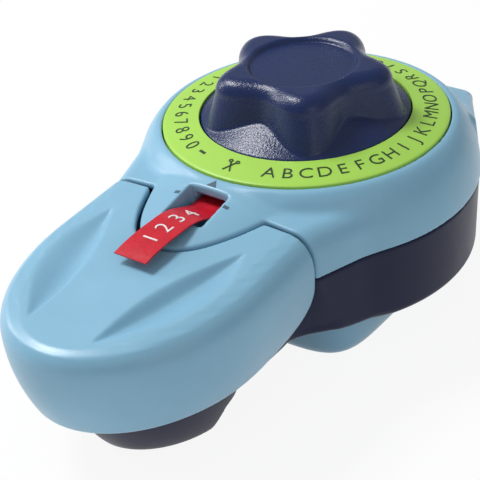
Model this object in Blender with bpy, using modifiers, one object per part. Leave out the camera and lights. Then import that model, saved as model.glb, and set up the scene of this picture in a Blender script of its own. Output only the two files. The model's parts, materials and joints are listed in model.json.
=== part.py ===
# Embossing label maker: a hand press with a character dial, a squeeze lever and a door for the tape reel.
# Metres, +Z up, X across, -Y to the nose. The origin is under the middle of the body, where it rests.

import math

import bmesh
import bpy
from mathutils import Matrix, Vector

# Overall sizes, from the dial's axis and from the surface that it rests on
NOSE_REACH = 0.0995
BODY_RADIUS = 0.0426
TAIL_LENGTH = 0.0049
TAIL_REACH = BODY_RADIUS + TAIL_LENGTH
DIAL_Y = (NOSE_REACH - TAIL_REACH) / 2
DIAL_Z = 0.0460
PARTING_Z = 0.0303
LOBE_FLOOR_Z = 0.0104
BODY_DRAFT = 0.0010
BODY_FOOT_RADIUS = BODY_RADIUS - BODY_DRAFT
BODY_EDGE_ROUND = 0.0018
BODY_WALL = 0.0022
PARTING_GROOVE = 0.0003

# Clearances
SEAT_GAP = 0.0003
RUNNING_GAP = 0.0004
SEAM_GAP = 0.0010
OVERRUN = 0.0020

# Facets of the round forms
BODY_STEPS = 56
DECK_STEPS = 48
ROLL_STEPS = 32
CROWN_STEPS = 96
ROD_SIDES = 20
SMALL_SIDES = 14
EDGE_STEPS = 2
WELD_DISTANCE = 0.00001

# Dome of the top cover
SHOULDER_WIDTH = 0.0096
DOME_CENTRE_RADIUS = BODY_RADIUS - SHOULDER_WIDTH
DOME_HEIGHT = 0.0165
DOME_STEPS = 5
LIP_INSET = 0.0060
LIP_RADIUS = BODY_RADIUS - LIP_INSET
COVER_WALL = 0.0018
ROOF_THICKNESS = 0.0014

# Character dial: the ring, the knob and the disc of dies under them
RING_MARGIN = 0.0014
RING_RADIUS = LIP_RADIUS - RING_MARGIN
RING_BAND = 0.0091
RING_INNER_RADIUS = RING_RADIUS - RING_BAND
RING_RISE = 0.0014
RING_THICKNESS = 0.0015
MOUTH_RADIUS = RING_RADIUS + SEAT_GAP
CHARACTER_COUNT = 45
KNOB_TOP_Z = 0.0602
KNOB_LOBES = 5
KNOB_TURN = math.radians(18)
KNOB_FOOT_MARGIN = 0.0042
KNOB_FOOT_RADIUS = RING_INNER_RADIUS - KNOB_FOOT_MARGIN
KNOB_FOOT_SWING = 0.0028
KNOB_TAPER = 0.0022
KNOB_TOP_RADIUS = KNOB_FOOT_RADIUS - KNOB_TAPER
KNOB_TOP_SWING = 0.0021
KNOB_EDGE_ROUND = 0.0030
KNOB_SINK = 0.0022
KNOB_CONE_RISE = 0.0045
KNOB_CONE_RUN = 0.0093
KNOB_POINTS = 60
KNOB_ROWS = 3
KNOB_FLANGE_LAP = 0.0029
KNOB_FLANGE_RADIUS = RING_INNER_RADIUS + KNOB_FLANGE_LAP
KNOB_FLANGE_THICKNESS = 0.0012
KNOB_HUB_RADIUS = 0.0060
KNOB_RIM = 0.0071
RECESS_RADIUS = KNOB_TOP_RADIUS - KNOB_RIM
RECESS_DEPTH = 0.0012
RECESS_EASE = 0.0008
DISC_INSET = 0.0033
DISC_RADIUS = RING_RADIUS - DISC_INSET
DISC_THICKNESS = 0.0009
DISC_Z = 0.0410
DISC_SLIT_WIDTH = 0.0006
DISC_FINGER = 0.0129
DISC_SLIT_ROOT_RADIUS = DISC_RADIUS - DISC_FINGER
DISC_WEB = 0.0065
CROWN_RADIUS = DISC_SLIT_ROOT_RADIUS - DISC_WEB
CROWN_WALL = 0.0032
CROWN_TOOTH = 0.0008
CROWN_DEPTH = 0.0018
AXLE_RADIUS = 0.0025
AXLE_BOTTOM_Z = 0.0338
AXLE_TOP_Z = 0.0560
CLIP_RADIUS = 0.0046
CLIP_THICKNESS = 0.0006

# Squeeze lever
SEAM_INSET = 0.0026
SEAM_REACH = BODY_RADIUS - SEAM_INSET
SEAM_Y = DIAL_Y - SEAM_REACH
PIVOT_LEAD = 0.0020
LEVER_PIVOT_Y = SEAM_Y - PIVOT_LEAD
LEVER_PIVOT_Z = 0.0260
LEVER_WALL = 0.0020
LEVER_HALF_WIDTH = 0.0298
LEVER_STRAIGHT = 0.0200
LEVER_POWER = 1.99
LEVER_SIDE_Z = 0.0325
LEVER_SKIRT_Z = 0.0160
LEVER_SKIRT_INSET = 0.0035
LEVER_NOSE_INSET = 0.0037
LEVER_CORNER = 0.0068
LEVER_NOSE_CORNER = 0.0038
LEVER_CORNER_POWER = 2.3
LEVER_TOP_Z = 0.0420
LEVER_TOP_FALL = 0.0042
LEVER_TOP_CROWN = 0.0009
LEVER_SWEEP_REACH = 0.0190
LEVER_SWEEP_Z = 0.0290
LEVER_SWEEP_STEPS = 8
LEVER_ROWS = 9
LEVER_ROUND_STEPS = 11
LEVER_STRAIGHT_STEPS = 4
SKIRT_ROW_SHARES = (0.0, 0.35, 0.7, 1.0)
CORNER_ROW_SHARES = (0.22, 0.45, 0.68, 0.88, 1.0)
EAR_THICKNESS = 0.0020
EAR_RADIUS = 0.0036
EAR_STEPS = 8
PIVOT_PIN_RADIUS = 0.0015

# Thumb flutes in the lever's top
FLUTE_DEPTH = 0.0021
FLUTE_RUN_SHARES = (0.19, 0.86)
FLUTE_CHORD_SHARES = (0.64, 0.30)
FLUTE_INNER_SHARE = 0.13
FLUTE_OUTER_SHARE = 0.27
FLUTE_WALL_SHARES = (0.30, 0.55)
FLUTE_END_POWER = 0.6

# Neck between the round body and the lever
NECK_STEP = 0.0006
NECK_HALF_WIDTH = LEVER_HALF_WIDTH - NECK_STEP
NECK_LENGTH = 0.0230
NECK_FLARE = 0.0080
NECK_CORNER = 0.0066
NECK_POWER = 2.4
NECK_STEPS = 6
NECK_SIDE_Z = 0.0330
NECK_TOP_Z = 0.0420
NECK_TOP_FALL = 0.0006

# Island round the label window: a tilted, crowned facet that the lever is cut round
ISLAND_HALF_WIDTH = 0.0159
ISLAND_REACH = 0.0208
ISLAND_ROOT = 0.0050
ISLAND_NOSE_SHARE = 0.62
ISLAND_STEPS = 9
ISLAND_BACK_Z = 0.0449
ISLAND_TILT = math.atan(0.20)
ISLAND_CROWN_RADIUS = 0.0435
ISLAND_BOTTOM_Z = 0.0355
WINDOW_SET_BACK = 0.0010
WINDOW_BACK_Y = SEAM_Y + WINDOW_SET_BACK
WINDOW_WIDTH = 0.0113
WINDOW_LENGTH = 0.0110
WINDOW_FLOOR_Z = 0.0372
SLOT_HEIGHT = 0.0017

# Grip under the lever, part of the lower housing
GRIP_WALL = 0.0020
GRIP_TOP_Z = 0.0300
GRIP_PLAY = 0.0009
GRIP_HALF_WIDTH = LEVER_HALF_WIDTH - LEVER_SKIRT_INSET - LEVER_WALL - GRIP_PLAY
GRIP_NOSE_PLAY = 0.0025
GRIP_NOSE_REACH = NOSE_REACH - LEVER_NOSE_INSET - LEVER_WALL - GRIP_NOSE_PLAY
GRIP_REAR_REACH = 0.0200
GRIP_POWER = 1.9
GRIP_TAPER = 0.0070
GRIP_FOOT_HALF_WIDTH = GRIP_HALF_WIDTH - GRIP_TAPER
GRIP_NOSE_TAPER = 0.0098
GRIP_FOOT_NOSE_REACH = GRIP_NOSE_REACH - GRIP_NOSE_TAPER
GRIP_FOOT_REAR_REACH = 0.0540
GRIP_MIDDLE_SHARE = 0.25
GRIP_SWELL_POWER = 0.8
GRIP_REAR_SHARE = 0.36
GRIP_REAR_POWER = 2.2
GRIP_ROW_SHARES = (0.0, 0.035, 0.12, 0.24, 0.36, 0.55, 0.78, 1.0)
GRIP_POINTS = 15

# Arch for the fingers, between the round body and the grip
ARCH_START_REACH = 0.0200
ARCH_END_REACH = 0.0520
ARCH_RISE = 0.0096
ARCH_POWER = 1.15
ARCH_FOOT_REACH = 0.0610
ARCH_FALL_POWERS = (1.3, 0.8)
ARCH_SAMPLES = 8

# Throat from the neck to the grip, and the ears and lugs of the lever's pivot inside it
THROAT_EASE = 0.0010
THROAT_HALF_WIDTH = GRIP_HALF_WIDTH + THROAT_EASE
EAR_INSET = 0.0059
EAR_X = THROAT_HALF_WIDTH - EAR_INSET

# Tail of the round body
TAIL_HALF_WIDTH = 0.0200
TAIL_ROOT_REACH = 0.0260
TAIL_ROOT_INSET = 0.0009
TAIL_ROOT_HALF_WIDTH = math.sqrt(BODY_RADIUS ** 2 - TAIL_ROOT_REACH ** 2) - TAIL_ROOT_INSET
TAIL_CORNER = 0.0040
TAIL_CORNER_STEPS = 4
TAIL_TOP_Z = 0.0410
TAIL_TOP_FALL = 0.0055
TAIL_ROUND = 0.0018

# Places of the press works along the tape, from the dies on the disc
DIE_INSET = 0.0034
EMBOSS_REACH = DISC_RADIUS - DIE_INSET
BLADE_LEAD = 0.0056
BLADE_REACH = EMBOSS_REACH + BLADE_LEAD
ANVIL_LEAD = 0.0057
ANVIL_FRONT_REACH = EMBOSS_REACH + ANVIL_LEAD
ANVIL_LAG = 0.0020
ANVIL_REAR_REACH = EMBOSS_REACH - ANVIL_LAG

# Tape, its rollers and its reel
TAPE_WIDTH = 0.0090
TAPE_THICKNESS = 0.0003
TAPE_Z = 0.0402
TAPE_CLIMB = math.radians(10)
ROLLER_RADIUS = 0.0041
ROLLER_LAG = 0.0082
TAPE_WRAP = ROLLER_RADIUS + SEAT_GAP + TAPE_THICKNESS / 2
ROLLER_Y = DIAL_Y - EMBOSS_REACH + ROLLER_LAG
ROLLER_Z = TAPE_Z - TAPE_WRAP
ROLLER_FLUTES = 18
ROLLER_AXLE_RADIUS = 0.0011
ROLLER_AXLE_HALF = 0.0122
PINCH_RADIUS = 0.0030
REEL_Z = 0.0185
ROLL_RADIUS = 0.0145
ROLL_CORE_RADIUS = 0.0080
SPOOL_FLANGE_RADIUS = 0.0155
SPOOL_FLANGE = 0.0008
TRUNNION_RADIUS = 0.0020
TAPE_LEAVE = ROLL_RADIUS + SEAT_GAP + TAPE_THICKNESS / 2
TAPE_START_Z = REEL_Z - TAPE_LEAVE * math.sin(TAPE_CLIMB)
TAPE_START_Y = ROLLER_Y + TAPE_WRAP * math.cos(TAPE_CLIMB)
TAPE_START_Y += (ROLLER_Z + TAPE_WRAP * math.sin(TAPE_CLIMB) - TAPE_START_Z) * math.tan(TAPE_CLIMB)
REEL_Y = TAPE_START_Y + TAPE_LEAVE * math.cos(TAPE_CLIMB)
LABEL_REACH = 0.0287
LABEL_RISE = 0.0033
LABEL_LINE_SHARES = ((0.0, 0.0), (0.08, 0.03), (0.20, 0.38), (0.32, 0.78), (0.44, 0.98), (0.56, 1.0),
                     (0.68, 0.99), (0.80, 0.93), (0.90, 0.83), (1.0, 0.67))

# Tape door, the bowl under the round body, with two skids that it rests on
DOOR_SIDE_MARGIN = 0.0113
DOOR_HALF_WIDTH = BODY_RADIUS - DOOR_SIDE_MARGIN
DOOR_FRONT_REACH = 0.0345
DOOR_REAR_REACH = 0.0220
DOOR_WALL = 0.0018
DOOR_POWER = 3.9
DOOR_PLAN_POWER = 5.8
DOOR_ROUND = 0.0114
DOOR_POINTS = 32
DOOR_ROWS = 6
DOOR_OPENING_INSET = 0.0042
SKID_HEIGHT = 0.0004
SKID_X = 0.0130
SKID_WIDTH = 0.0024
SKID_HALF_LENGTH = 0.0110
HINGE_Z = 0.0084
HINGE_BARREL_RADIUS = 0.0016
HINGE_PIN_RADIUS = 0.0008
HINGE_HALF_LENGTH = 0.0076
HINGE_EAR = 0.0022
HINGE_Y = DIAL_Y + DOOR_REAR_REACH + HINGE_BARREL_RADIUS
LATCH_WIDTH = 0.0080
LATCH_HEIGHT = 0.0034
LATCH_THICKNESS = 0.0014

# Deck of the mechanism
DECK_Z = 0.0355
DECK_THICKNESS = 0.0015
DECK_PLAY = 0.0010
DECK_RADIUS = BODY_FOOT_RADIUS - BODY_WALL - DECK_PLAY
DECK_FLAT = 0.0016
DECK_FRONT_REACH = DECK_RADIUS - DECK_FLAT
CHEEK_X = 0.0066
CHEEK_THICKNESS = 0.0015
CHEEK_HALF_WIDTH = 0.0060
LUG_X = 0.0102
LUG_THICKNESS = 0.0018
LUG_RADIUS = 0.0026

# Screws through the lower housing, the deck and the cover's bosses
SCREW_EDGE = 0.0018
SCREW_CIRCLE = DECK_RADIUS - SCREW_EDGE
SCREW_ANGLES = (math.radians(80), math.radians(150))
SCREW_RADIUS = 0.0012
SCREW_HEAD_RADIUS = 0.0024
SCREW_HEAD = 0.0018
SCREW_SINK = 0.0012
SCREW_TOP_Z = 0.0402
BOSS_TOP_Z = 0.0416
POST_RADIUS = 0.0029
BOSS_RADIUS = 0.0027

# Press works: the anvil over the tape, the hammer and the blade under it
ANVIL_HALF_WIDTH = 0.0080
ANVIL_LEG = 0.0026
ANVIL_LEG_DEPTH = 0.0021
ANVIL_Z = 0.0422
ANVIL_THICKNESS = 0.0010
HAMMER_HALF_WIDTH = 0.0022
HAMMER_HALF_DEPTH = 0.0015
HAMMER_BOTTOM_Z = 0.0320
HAMMER_TOP_Z = 0.0375
PAD_TOP_Z = 0.0383
BLADE_HALF_WIDTH = 0.0049
BLADE_THICKNESS = 0.0004
BLADE_BOTTOM_Z = 0.0362
BLADE_TOP_Z = 0.0396
BLADE_SLANT = 0.0008
BLADE_STEM_RADIUS = 0.0009
BLADE_FOOT_RADIUS = 0.0024
BLADE_FOOT_Z = 0.0308
BLADE_FOOT = 0.0008
CUT_GAP = 0.0005

# Rocker on the lever's pivot, and the feed pawl on it
ROCKER_HALF_WIDTH = 0.0030
ROCKER_HUB_RADIUS = 0.0034
ROCKER_EAR_PLAY = 0.0009
ROCKER_HUB_HALF_LENGTH = EAR_X - ROCKER_EAR_PLAY
ROCKER_WEB_Z = 0.0292
PAWL_X = 0.0062
RATCHET_RADIUS = 0.0034
RATCHET_ROOT_SHARE = 0.78
RATCHET_STEEP_SHARE = 0.12
RATCHET_TEETH = 9
RATCHET_X = 0.0078
RATCHET_THICKNESS = 0.0018

# Springs
LEVER_SPRING_REACH = 0.0720
LEVER_SPRING_RADIUS = 0.0038
LEVER_SPRING_WIRE = 0.0005
LEVER_SPRING_TURNS = 6
TOWER_RADIUS = 0.0052
TOWER_Z = 0.0220
TOWER_NIPPLE_RADIUS = 0.0028
TOWER_NIPPLE = 0.0026
BLADE_SPRING_RADIUS = 0.0017
BLADE_SPRING_WIRE = 0.0002
BLADE_SPRING_TURNS = 2
COIL_POINTS = 10
DETENT_LENGTH = 0.0150
DETENT_THICKNESS = 0.0005


# Scene, materials and collections

def clear_scene():
    for old in list(bpy.data.objects):
        bpy.data.objects.remove(old, do_unlink=True)


def new_collection(name):
    group = bpy.data.collections.new(name)
    bpy.context.scene.collection.children.link(group)
    return group


def new_material(name, colour, roughness, metallic=0.0):
    made = bpy.data.materials.new(name)
    made.use_nodes = True
    made.diffuse_color = (*colour, 1.0)
    shader = made.node_tree.nodes["Principled BSDF"]
    shader.inputs["Base Color"].default_value = (*colour, 1.0)
    shader.inputs["Roughness"].default_value = roughness
    shader.inputs["Metallic"].default_value = metallic
    return made


clear_scene()
PARTS = new_collection("embossing_label_maker")
CUTTERS = new_collection("cutters_and_guides")

LIGHT_BLUE = new_material("light_blue_plastic", (0.262, 0.473, 0.631), 0.42)
NAVY = new_material("navy_plastic", (0.035, 0.037, 0.072), 0.45)
KNOB_BLUE = new_material("knob_blue_plastic", (0.016, 0.028, 0.110), 0.38)
GREEN = new_material("green_plastic", (0.376, 0.665, 0.092), 0.36)
RED_TAPE = new_material("red_tape", (0.610, 0.022, 0.040), 0.30)
WHITE = new_material("white_acetal", (0.720, 0.720, 0.690), 0.45)
BLACK = new_material("black_acetal", (0.030, 0.030, 0.032), 0.50)
STEEL = new_material("bright_steel", (0.560, 0.570, 0.580), 0.30, 1.0)
RUBBER = new_material("rubber_pad", (0.060, 0.060, 0.060), 0.80)


# Tools that make and change shapes

def place_in(group, thing):
    for owner in list(thing.users_collection):
        owner.objects.unlink(thing)
    group.objects.link(thing)


def shade(thing, angle=math.radians(35)):
    thing.data.shade_smooth()
    thing.data.set_sharp_from_angle(angle=angle)


def add_object(name, mesh):
    thing = bpy.data.objects.new(name, mesh)
    CUTTERS.objects.link(thing)
    thing.hide_render = True
    thing.display_type = "WIRE"
    return thing


def keep(thing, surface):
    """Makes a shape one of the object's own pieces."""
    place_in(PARTS, thing)
    thing.hide_render = False
    thing.display_type = "TEXTURED"
    thing.data.materials.clear()
    thing.data.materials.append(surface)
    shade(thing)
    return thing


def join(thing, *tools):
    for tool in tools:
        step = thing.modifiers.new("join_" + tool.name, "BOOLEAN")
        step.operation = "UNION"
        step.object = tool
    return thing


def cut(thing, *tools):
    for tool in tools:
        step = thing.modifiers.new("cut_" + tool.name, "BOOLEAN")
        step.operation = "DIFFERENCE"
        step.object = tool
    return thing


def common(thing, tool):
    step = thing.modifiers.new("common_" + tool.name, "BOOLEAN")
    step.operation = "INTERSECT"
    step.object = tool
    return thing


def skin(name, rows, lid=True):
    """Skins closed outlines of equal point counts, from the lowest row to the highest."""
    count = len(rows[0])
    points = [point for row in rows for point in row]
    faces = []
    for level in range(len(rows) - 1):
        for i in range(count):
            j = (i + 1) % count
            low, high = level * count, (level + 1) * count
            faces.append((low + i, low + j, high + j))
            faces.append((low + i, high + j, high + i))
    if lid:
        faces.append(tuple(reversed(range(count))))
        faces.append(tuple(range((len(rows) - 1) * count, len(rows) * count)))
    mesh = bpy.data.meshes.new(name)
    mesh.from_pydata(points, [], faces)
    return add_object(name, mesh)


def turned(name, profile, steps=BODY_STEPS, x=0.0, y=DIAL_Y, closed=False):
    """Turns a profile of (radius, height) pairs about a vertical axis at x, y."""
    points = [(radius, 0.0, height) for radius, height in profile]
    edges = [(i, i + 1) for i in range(len(points) - 1)]
    if closed:
        edges.append((len(points) - 1, 0))
    mesh = bpy.data.meshes.new(name)
    mesh.from_pydata(points, edges, [])
    thing = add_object(name, mesh)
    thing.location = (x, y, 0.0)
    spin = thing.modifiers.new("turn", "SCREW")
    spin.axis = "Z"
    spin.angle = math.tau
    spin.steps = steps
    spin.render_steps = steps
    spin.use_merge_vertices = True
    spin.merge_threshold = WELD_DISTANCE
    spin.use_smooth_shade = True
    return thing


def lay_across(thing, y, z):
    """Turns a shape made about the vertical axis so that its axis runs across, through y and z."""
    thing.location = (0.0, y, z)
    thing.rotation_euler = (0.0, math.radians(90), 0.0)
    return thing


def mesh_of(curve_object, name):
    """The mesh of a curve object, with its caps welded, in place of the curve."""
    bpy.context.view_layer.update()
    source = curve_object.evaluated_get(bpy.context.evaluated_depsgraph_get())
    mesh = bpy.data.meshes.new_from_object(source)
    mesh.transform(curve_object.matrix_world)
    form = bmesh.new()
    form.from_mesh(mesh)
    bmesh.ops.remove_doubles(form, verts=form.verts, dist=WELD_DISTANCE / 10)
    bmesh.ops.recalc_face_normals(form, faces=form.faces)
    form.to_mesh(mesh)
    form.free()
    bpy.data.objects.remove(curve_object, do_unlink=True)
    mesh.name = name
    return add_object(name, mesh)


def plate(name, outline, low, high, axis="Z"):
    """A flat outline, filled and extruded between two levels of the axis."""
    curve = bpy.data.curves.new(name, "CURVE")
    curve.dimensions = "2D"
    curve.fill_mode = "BOTH"
    curve.extrude = (high - low) / 2
    line = curve.splines.new("POLY")
    line.points.add(len(outline) - 1)
    line.use_cyclic_u = True
    for point, (u, v) in zip(line.points, outline):
        point.co = (u, v, 0.0, 1.0)
    holder = bpy.data.objects.new(name + "_outline", curve)
    CUTTERS.objects.link(holder)
    middle = (low + high) / 2
    if axis == "X":
        turn = Matrix(((0, 0, 1, middle), (1, 0, 0, 0), (0, 1, 0, 0), (0, 0, 0, 1)))
    else:
        turn = Matrix.Translation((0.0, 0.0, middle))
    holder.matrix_world = turn
    return mesh_of(holder, name)


def block(name, low, high, round_edges=0.0):
    """A box between two corners, with its edges rounded if asked."""
    size = Vector(high) - Vector(low)
    form = bmesh.new()
    bmesh.ops.create_cube(form, size=1.0)
    bmesh.ops.scale(form, vec=size, verts=form.verts)
    mesh = bpy.data.meshes.new(name)
    form.to_mesh(mesh)
    form.free()
    thing = add_object(name, mesh)
    thing.location = (Vector(low) + Vector(high)) / 2
    if round_edges:
        edge = thing.modifiers.new("round", "BEVEL")
        edge.width = round_edges
        edge.segments = EDGE_STEPS
    return thing


def rod(name, radius, low, high, y, z, sides=ROD_SIDES, x=0.0, upright=False):
    """A round bar: across between two values of x, or upright between two heights."""
    form = bmesh.new()
    bmesh.ops.create_cone(form, cap_ends=True, segments=sides, radius1=radius, radius2=radius,
                          depth=high - low)
    mesh = bpy.data.meshes.new(name)
    form.to_mesh(mesh)
    form.free()
    thing = add_object(name, mesh)
    if upright:
        thing.location = (x, y, (low + high) / 2)
    else:
        thing.rotation_euler = (0.0, math.radians(90), 0.0)
        thing.location = ((low + high) / 2, y, z)
    return thing


def coil(name, radius, wire, turns, bottom, top, x, y):
    """A compression spring: an even helix with one flat turn at each end."""
    total = turns + 2
    steps = total * COIL_POINTS
    curve = bpy.data.curves.new(name, "CURVE")
    curve.dimensions = "3D"
    curve.bevel_depth = wire
    curve.bevel_resolution = 1
    curve.use_fill_caps = True
    line = curve.splines.new("POLY")
    line.points.add(steps)
    low, high = bottom + wire, top - wire
    pitch = 2 * wire + SEAT_GAP
    for i in range(steps + 1):
        turn = i / COIL_POINTS
        climb = min(max(turn - 1, 0), turns) / turns
        ends = min(turn, 1) + max(turn - 1 - turns, 0)
        height = low + ends * pitch + climb * (high - low - 2 * pitch)
        angle = turn * math.tau
        line.points[i].co = (x + radius * math.cos(angle), y + radius * math.sin(angle), height, 1.0)
    holder = bpy.data.objects.new(name + "_route", curve)
    CUTTERS.objects.link(holder)
    return mesh_of(holder, name)


def arc(centre_u, centre_v, radius, start, end, steps):
    """Points along an arc, angles in degrees."""
    points = []
    for i in range(steps + 1):
        angle = math.radians(start + (end - start) * i / steps)
        points.append((centre_u + radius * math.cos(angle), centre_v + radius * math.sin(angle)))
    return points


def power_of(value, power):
    return math.copysign(abs(value) ** power, value)


def axis_at(name, x, y, z):
    """An empty on a joint's axis, which the pieces of a moving body hang from."""
    empty = bpy.data.objects.new(name, None)
    empty.location = (x, y, z)
    PARTS.objects.link(empty)
    return empty


def carry(empty, *pieces):
    for piece in pieces:
        piece.parent = empty
        piece.matrix_parent_inverse = Matrix.Translation(-empty.location)


# Shapes that several pieces share

def dome_profile(inset):
    """The dome's side from its lip to the parting plane, moved in by a wall."""
    across = BODY_RADIUS - DOME_CENTRE_RADIUS - inset
    height = DOME_HEIGHT - inset
    start = math.acos((LIP_RADIUS - DOME_CENTRE_RADIUS) / (BODY_RADIUS - DOME_CENTRE_RADIUS))
    points = []
    for i in range(DOME_STEPS + 1):
        angle = start * (1 - i / DOME_STEPS)
        points.append((DOME_CENTRE_RADIUS + across * math.cos(angle), PARTING_Z + height * math.sin(angle)))
    return points


def neck_section(y, half_width, inset, bottom):
    """A section across the neck: upright sides, rounded upper corners and a nearly flat top."""
    corner = NECK_CORNER
    rise = NECK_TOP_Z - NECK_TOP_FALL - NECK_SIDE_Z
    side = []
    for i in range(NECK_STEPS + 1):
        angle = math.radians(90) * i / NECK_STEPS
        x = half_width - corner + corner * math.cos(angle) ** (2 / NECK_POWER) - inset
        z = NECK_SIDE_Z + rise * math.sin(angle) ** (2 / NECK_POWER) - inset
        side.append((x, y, z))
    right = [(half_width - inset, y, bottom)] + side + [(half_width / 2, y, NECK_TOP_Z - inset)]
    left = [(-x, y_, z) for x, y_, z in reversed(right)]
    return right + left


def tail_outline(inset):
    """Plan of the tail: sides that close in from the round body to two rounded corners."""
    half, root = TAIL_HALF_WIDTH - inset, TAIL_ROOT_HALF_WIDTH - inset
    back = DIAL_Y + TAIL_REACH - inset
    corner = TAIL_CORNER
    right = [(root, DIAL_Y + TAIL_ROOT_REACH)]
    right += arc(half - corner / 2, back - corner, corner, 15, 90, TAIL_CORNER_STEPS)
    left = [(-x, y) for x, y in reversed(right)]
    return [(0.0, DIAL_Y)] + right + left


def island_outline(grow):
    """Plan of the island: straight root inside the neck, then a shield-shaped front."""
    half, reach = ISLAND_HALF_WIDTH + grow, ISLAND_REACH + grow
    right = [(half, SEAM_Y + ISLAND_ROOT)]
    for i in range(ISLAND_STEPS + 1):
        angle = math.radians(90) * i / ISLAND_STEPS
        across = half * (1 - ISLAND_NOSE_SHARE * (1 - math.cos(angle))) * math.sqrt(max(math.cos(angle), 0.0))
        right.append((across, SEAM_Y - max(reach * math.sin(angle), SEAM_GAP)))
    left = [(-x, y) for x, y in reversed(right[:-1])]
    return right + left


def facet_outline():
    """Plan of the cut over the island: round its front with room, and straight back to the ring."""
    half = ISLAND_HALF_WIDTH + SEAT_GAP
    back, seam = DIAL_Y - DOME_CENTRE_RADIUS, SEAM_Y - SEAM_GAP / 2
    front = island_outline(OVERRUN)[2:-2]
    return [(half, back), (half, seam)] + front + [(-half, seam), (-half, back)]


def crown(name):
    """A long cylinder whose upper line is the island's tilted crest."""
    form = bmesh.new()
    length = ISLAND_REACH + LIP_RADIUS
    bmesh.ops.create_cone(form, cap_ends=True, segments=CROWN_STEPS, radius1=ISLAND_CROWN_RADIUS,
                          radius2=ISLAND_CROWN_RADIUS, depth=2 * length)
    mesh = bpy.data.meshes.new(name)
    form.to_mesh(mesh)
    form.free()
    thing = add_object(name, mesh)
    thing.rotation_euler = (math.radians(90) + ISLAND_TILT, 0.0, 0.0)
    thing.location = (0.0, WINDOW_BACK_Y + ISLAND_CROWN_RADIUS * math.sin(ISLAND_TILT),
                      ISLAND_BACK_Z - ISLAND_CROWN_RADIUS * math.cos(ISLAND_TILT))
    return thing


def screw_places():
    places = []
    for turn in SCREW_ANGLES:
        for side in (1, -1):
            places.append((side * SCREW_CIRCLE * math.sin(turn), DIAL_Y - SCREW_CIRCLE * math.cos(turn)))
    return places


# Top cover: the dome, the neck, the tail and the island round the label window

def make_top_cover():
    side = dome_profile(0.0)
    lip_z = side[0][1]
    skirt_z = PARTING_Z - OVERRUN
    cover = turned("top_cover", [(0.0, lip_z)] + side + [(BODY_RADIUS, skirt_z), (0.0, skirt_z)])
    width = NECK_HALF_WIDTH
    neck = skin("cover_neck", [neck_section(SEAM_Y + NECK_LENGTH, width + NECK_FLARE, 0.0, skirt_z - OVERRUN),
                               neck_section(SEAM_Y, width, 0.0, skirt_z - OVERRUN)])
    tail = plate("cover_tail", tail_outline(0.0), skirt_z - 2 * OVERRUN, TAIL_TOP_Z)
    shape_tail_top(tail)
    join(cover, neck, tail)

    inner = dome_profile(COVER_WALL)
    roof_z = lip_z - ROOF_THICKNESS
    bore = [(0.0, lip_z + OVERRUN), (MOUTH_RADIUS, lip_z + OVERRUN), (MOUTH_RADIUS, roof_z)]
    bore += [(max(r, MOUTH_RADIUS), min(z, roof_z)) for r, z in inner]
    bore += [(inner[-1][0], PARTING_Z - OVERRUN / 2), (0.0, PARTING_Z - OVERRUN / 2)]
    neck_bore = skin("neck_bore", [
        neck_section(SEAM_Y + NECK_LENGTH, width + NECK_FLARE, BODY_WALL, PARTING_Z - OVERRUN),
        neck_section(SEAM_Y - OVERRUN, width, BODY_WALL, PARTING_Z - OVERRUN)])
    tail_bore = plate("tail_bore", tail_outline(BODY_WALL), PARTING_Z - OVERRUN,
                      TAIL_TOP_Z - TAIL_TOP_FALL - BODY_WALL)
    bore = turned("cover_bore", bore)
    bore.rotation_euler = (0.0, 0.0, math.pi / BODY_STEPS)
    below = block("below_parting", (-2 * BODY_RADIUS, -2 * BODY_RADIUS, PARTING_Z - 4 * OVERRUN),
                  (2 * BODY_RADIUS, 2 * BODY_RADIUS, PARTING_Z))
    ahead = block("ahead_of_seam", (-2 * BODY_RADIUS, -2 * BODY_RADIUS, PARTING_Z - 3 * OVERRUN),
                  (2 * BODY_RADIUS, SEAM_Y, DIAL_Z + 2 * OVERRUN))
    cut(cover, below, ahead, bore, neck_bore, tail_bore)

    # The island stands ahead of the seam, and one crowned cut shapes its top and the facet behind it
    island = plate("island", island_outline(0.0), ISLAND_BOTTOM_Z, DIAL_Z)
    facet = plate("facet_cutter", facet_outline(), ISLAND_BOTTOM_Z - 2 * OVERRUN, DIAL_Z + 2 * OVERRUN)
    cut(facet, crown("island_crown"))
    well = block("window_well", (-WINDOW_WIDTH / 2, WINDOW_BACK_Y - WINDOW_LENGTH, WINDOW_FLOOR_Z),
                 (WINDOW_WIDTH / 2, WINDOW_BACK_Y, DIAL_Z + OVERRUN))
    behind = rod("island_back_clearance", MOUTH_RADIUS + SEAT_GAP, ISLAND_BOTTOM_Z - OVERRUN,
                 DIAL_Z + OVERRUN, DIAL_Y, 0.0, BODY_STEPS, 0.0, True)
    under = block("deck_clearance",
                  (-2 * ISLAND_HALF_WIDTH, DIAL_Y - DECK_FRONT_REACH - SEAT_GAP, ISLAND_BOTTOM_Z - OVERRUN),
                  (2 * ISLAND_HALF_WIDTH, DIAL_Y, TAPE_Z - SLOT_HEIGHT / 2 - SEAT_GAP))
    behind.rotation_euler = (0.0, 0.0, math.pi / BODY_STEPS)
    cut(island, behind, under)
    join(cover, island)
    cut(cover, facet)
    half = TAPE_WIDTH / 2 + RUNNING_GAP
    slot = block("tape_slot", (-half, WINDOW_BACK_Y - OVERRUN / 2, TAPE_Z - SLOT_HEIGHT / 2),
                 (half, DIAL_Y - LIP_RADIUS + OVERRUN, TAPE_Z + SLOT_HEIGHT / 2))
    cut(cover, well, slot)

    for x, y in screw_places():
        join(cover, rod("cover_boss", BOSS_RADIUS, DECK_Z + DECK_THICKNESS + SEAT_GAP, BOSS_TOP_Z, y, 0.0,
                        SMALL_SIDES, x, True))
        cut(cover, rod("cover_boss_bore", SCREW_RADIUS + SEAT_GAP, DECK_Z, SCREW_TOP_Z + SEAT_GAP, y, 0.0,
                       SMALL_SIDES, x, True))
    return keep(cover, LIGHT_BLUE)


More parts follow.
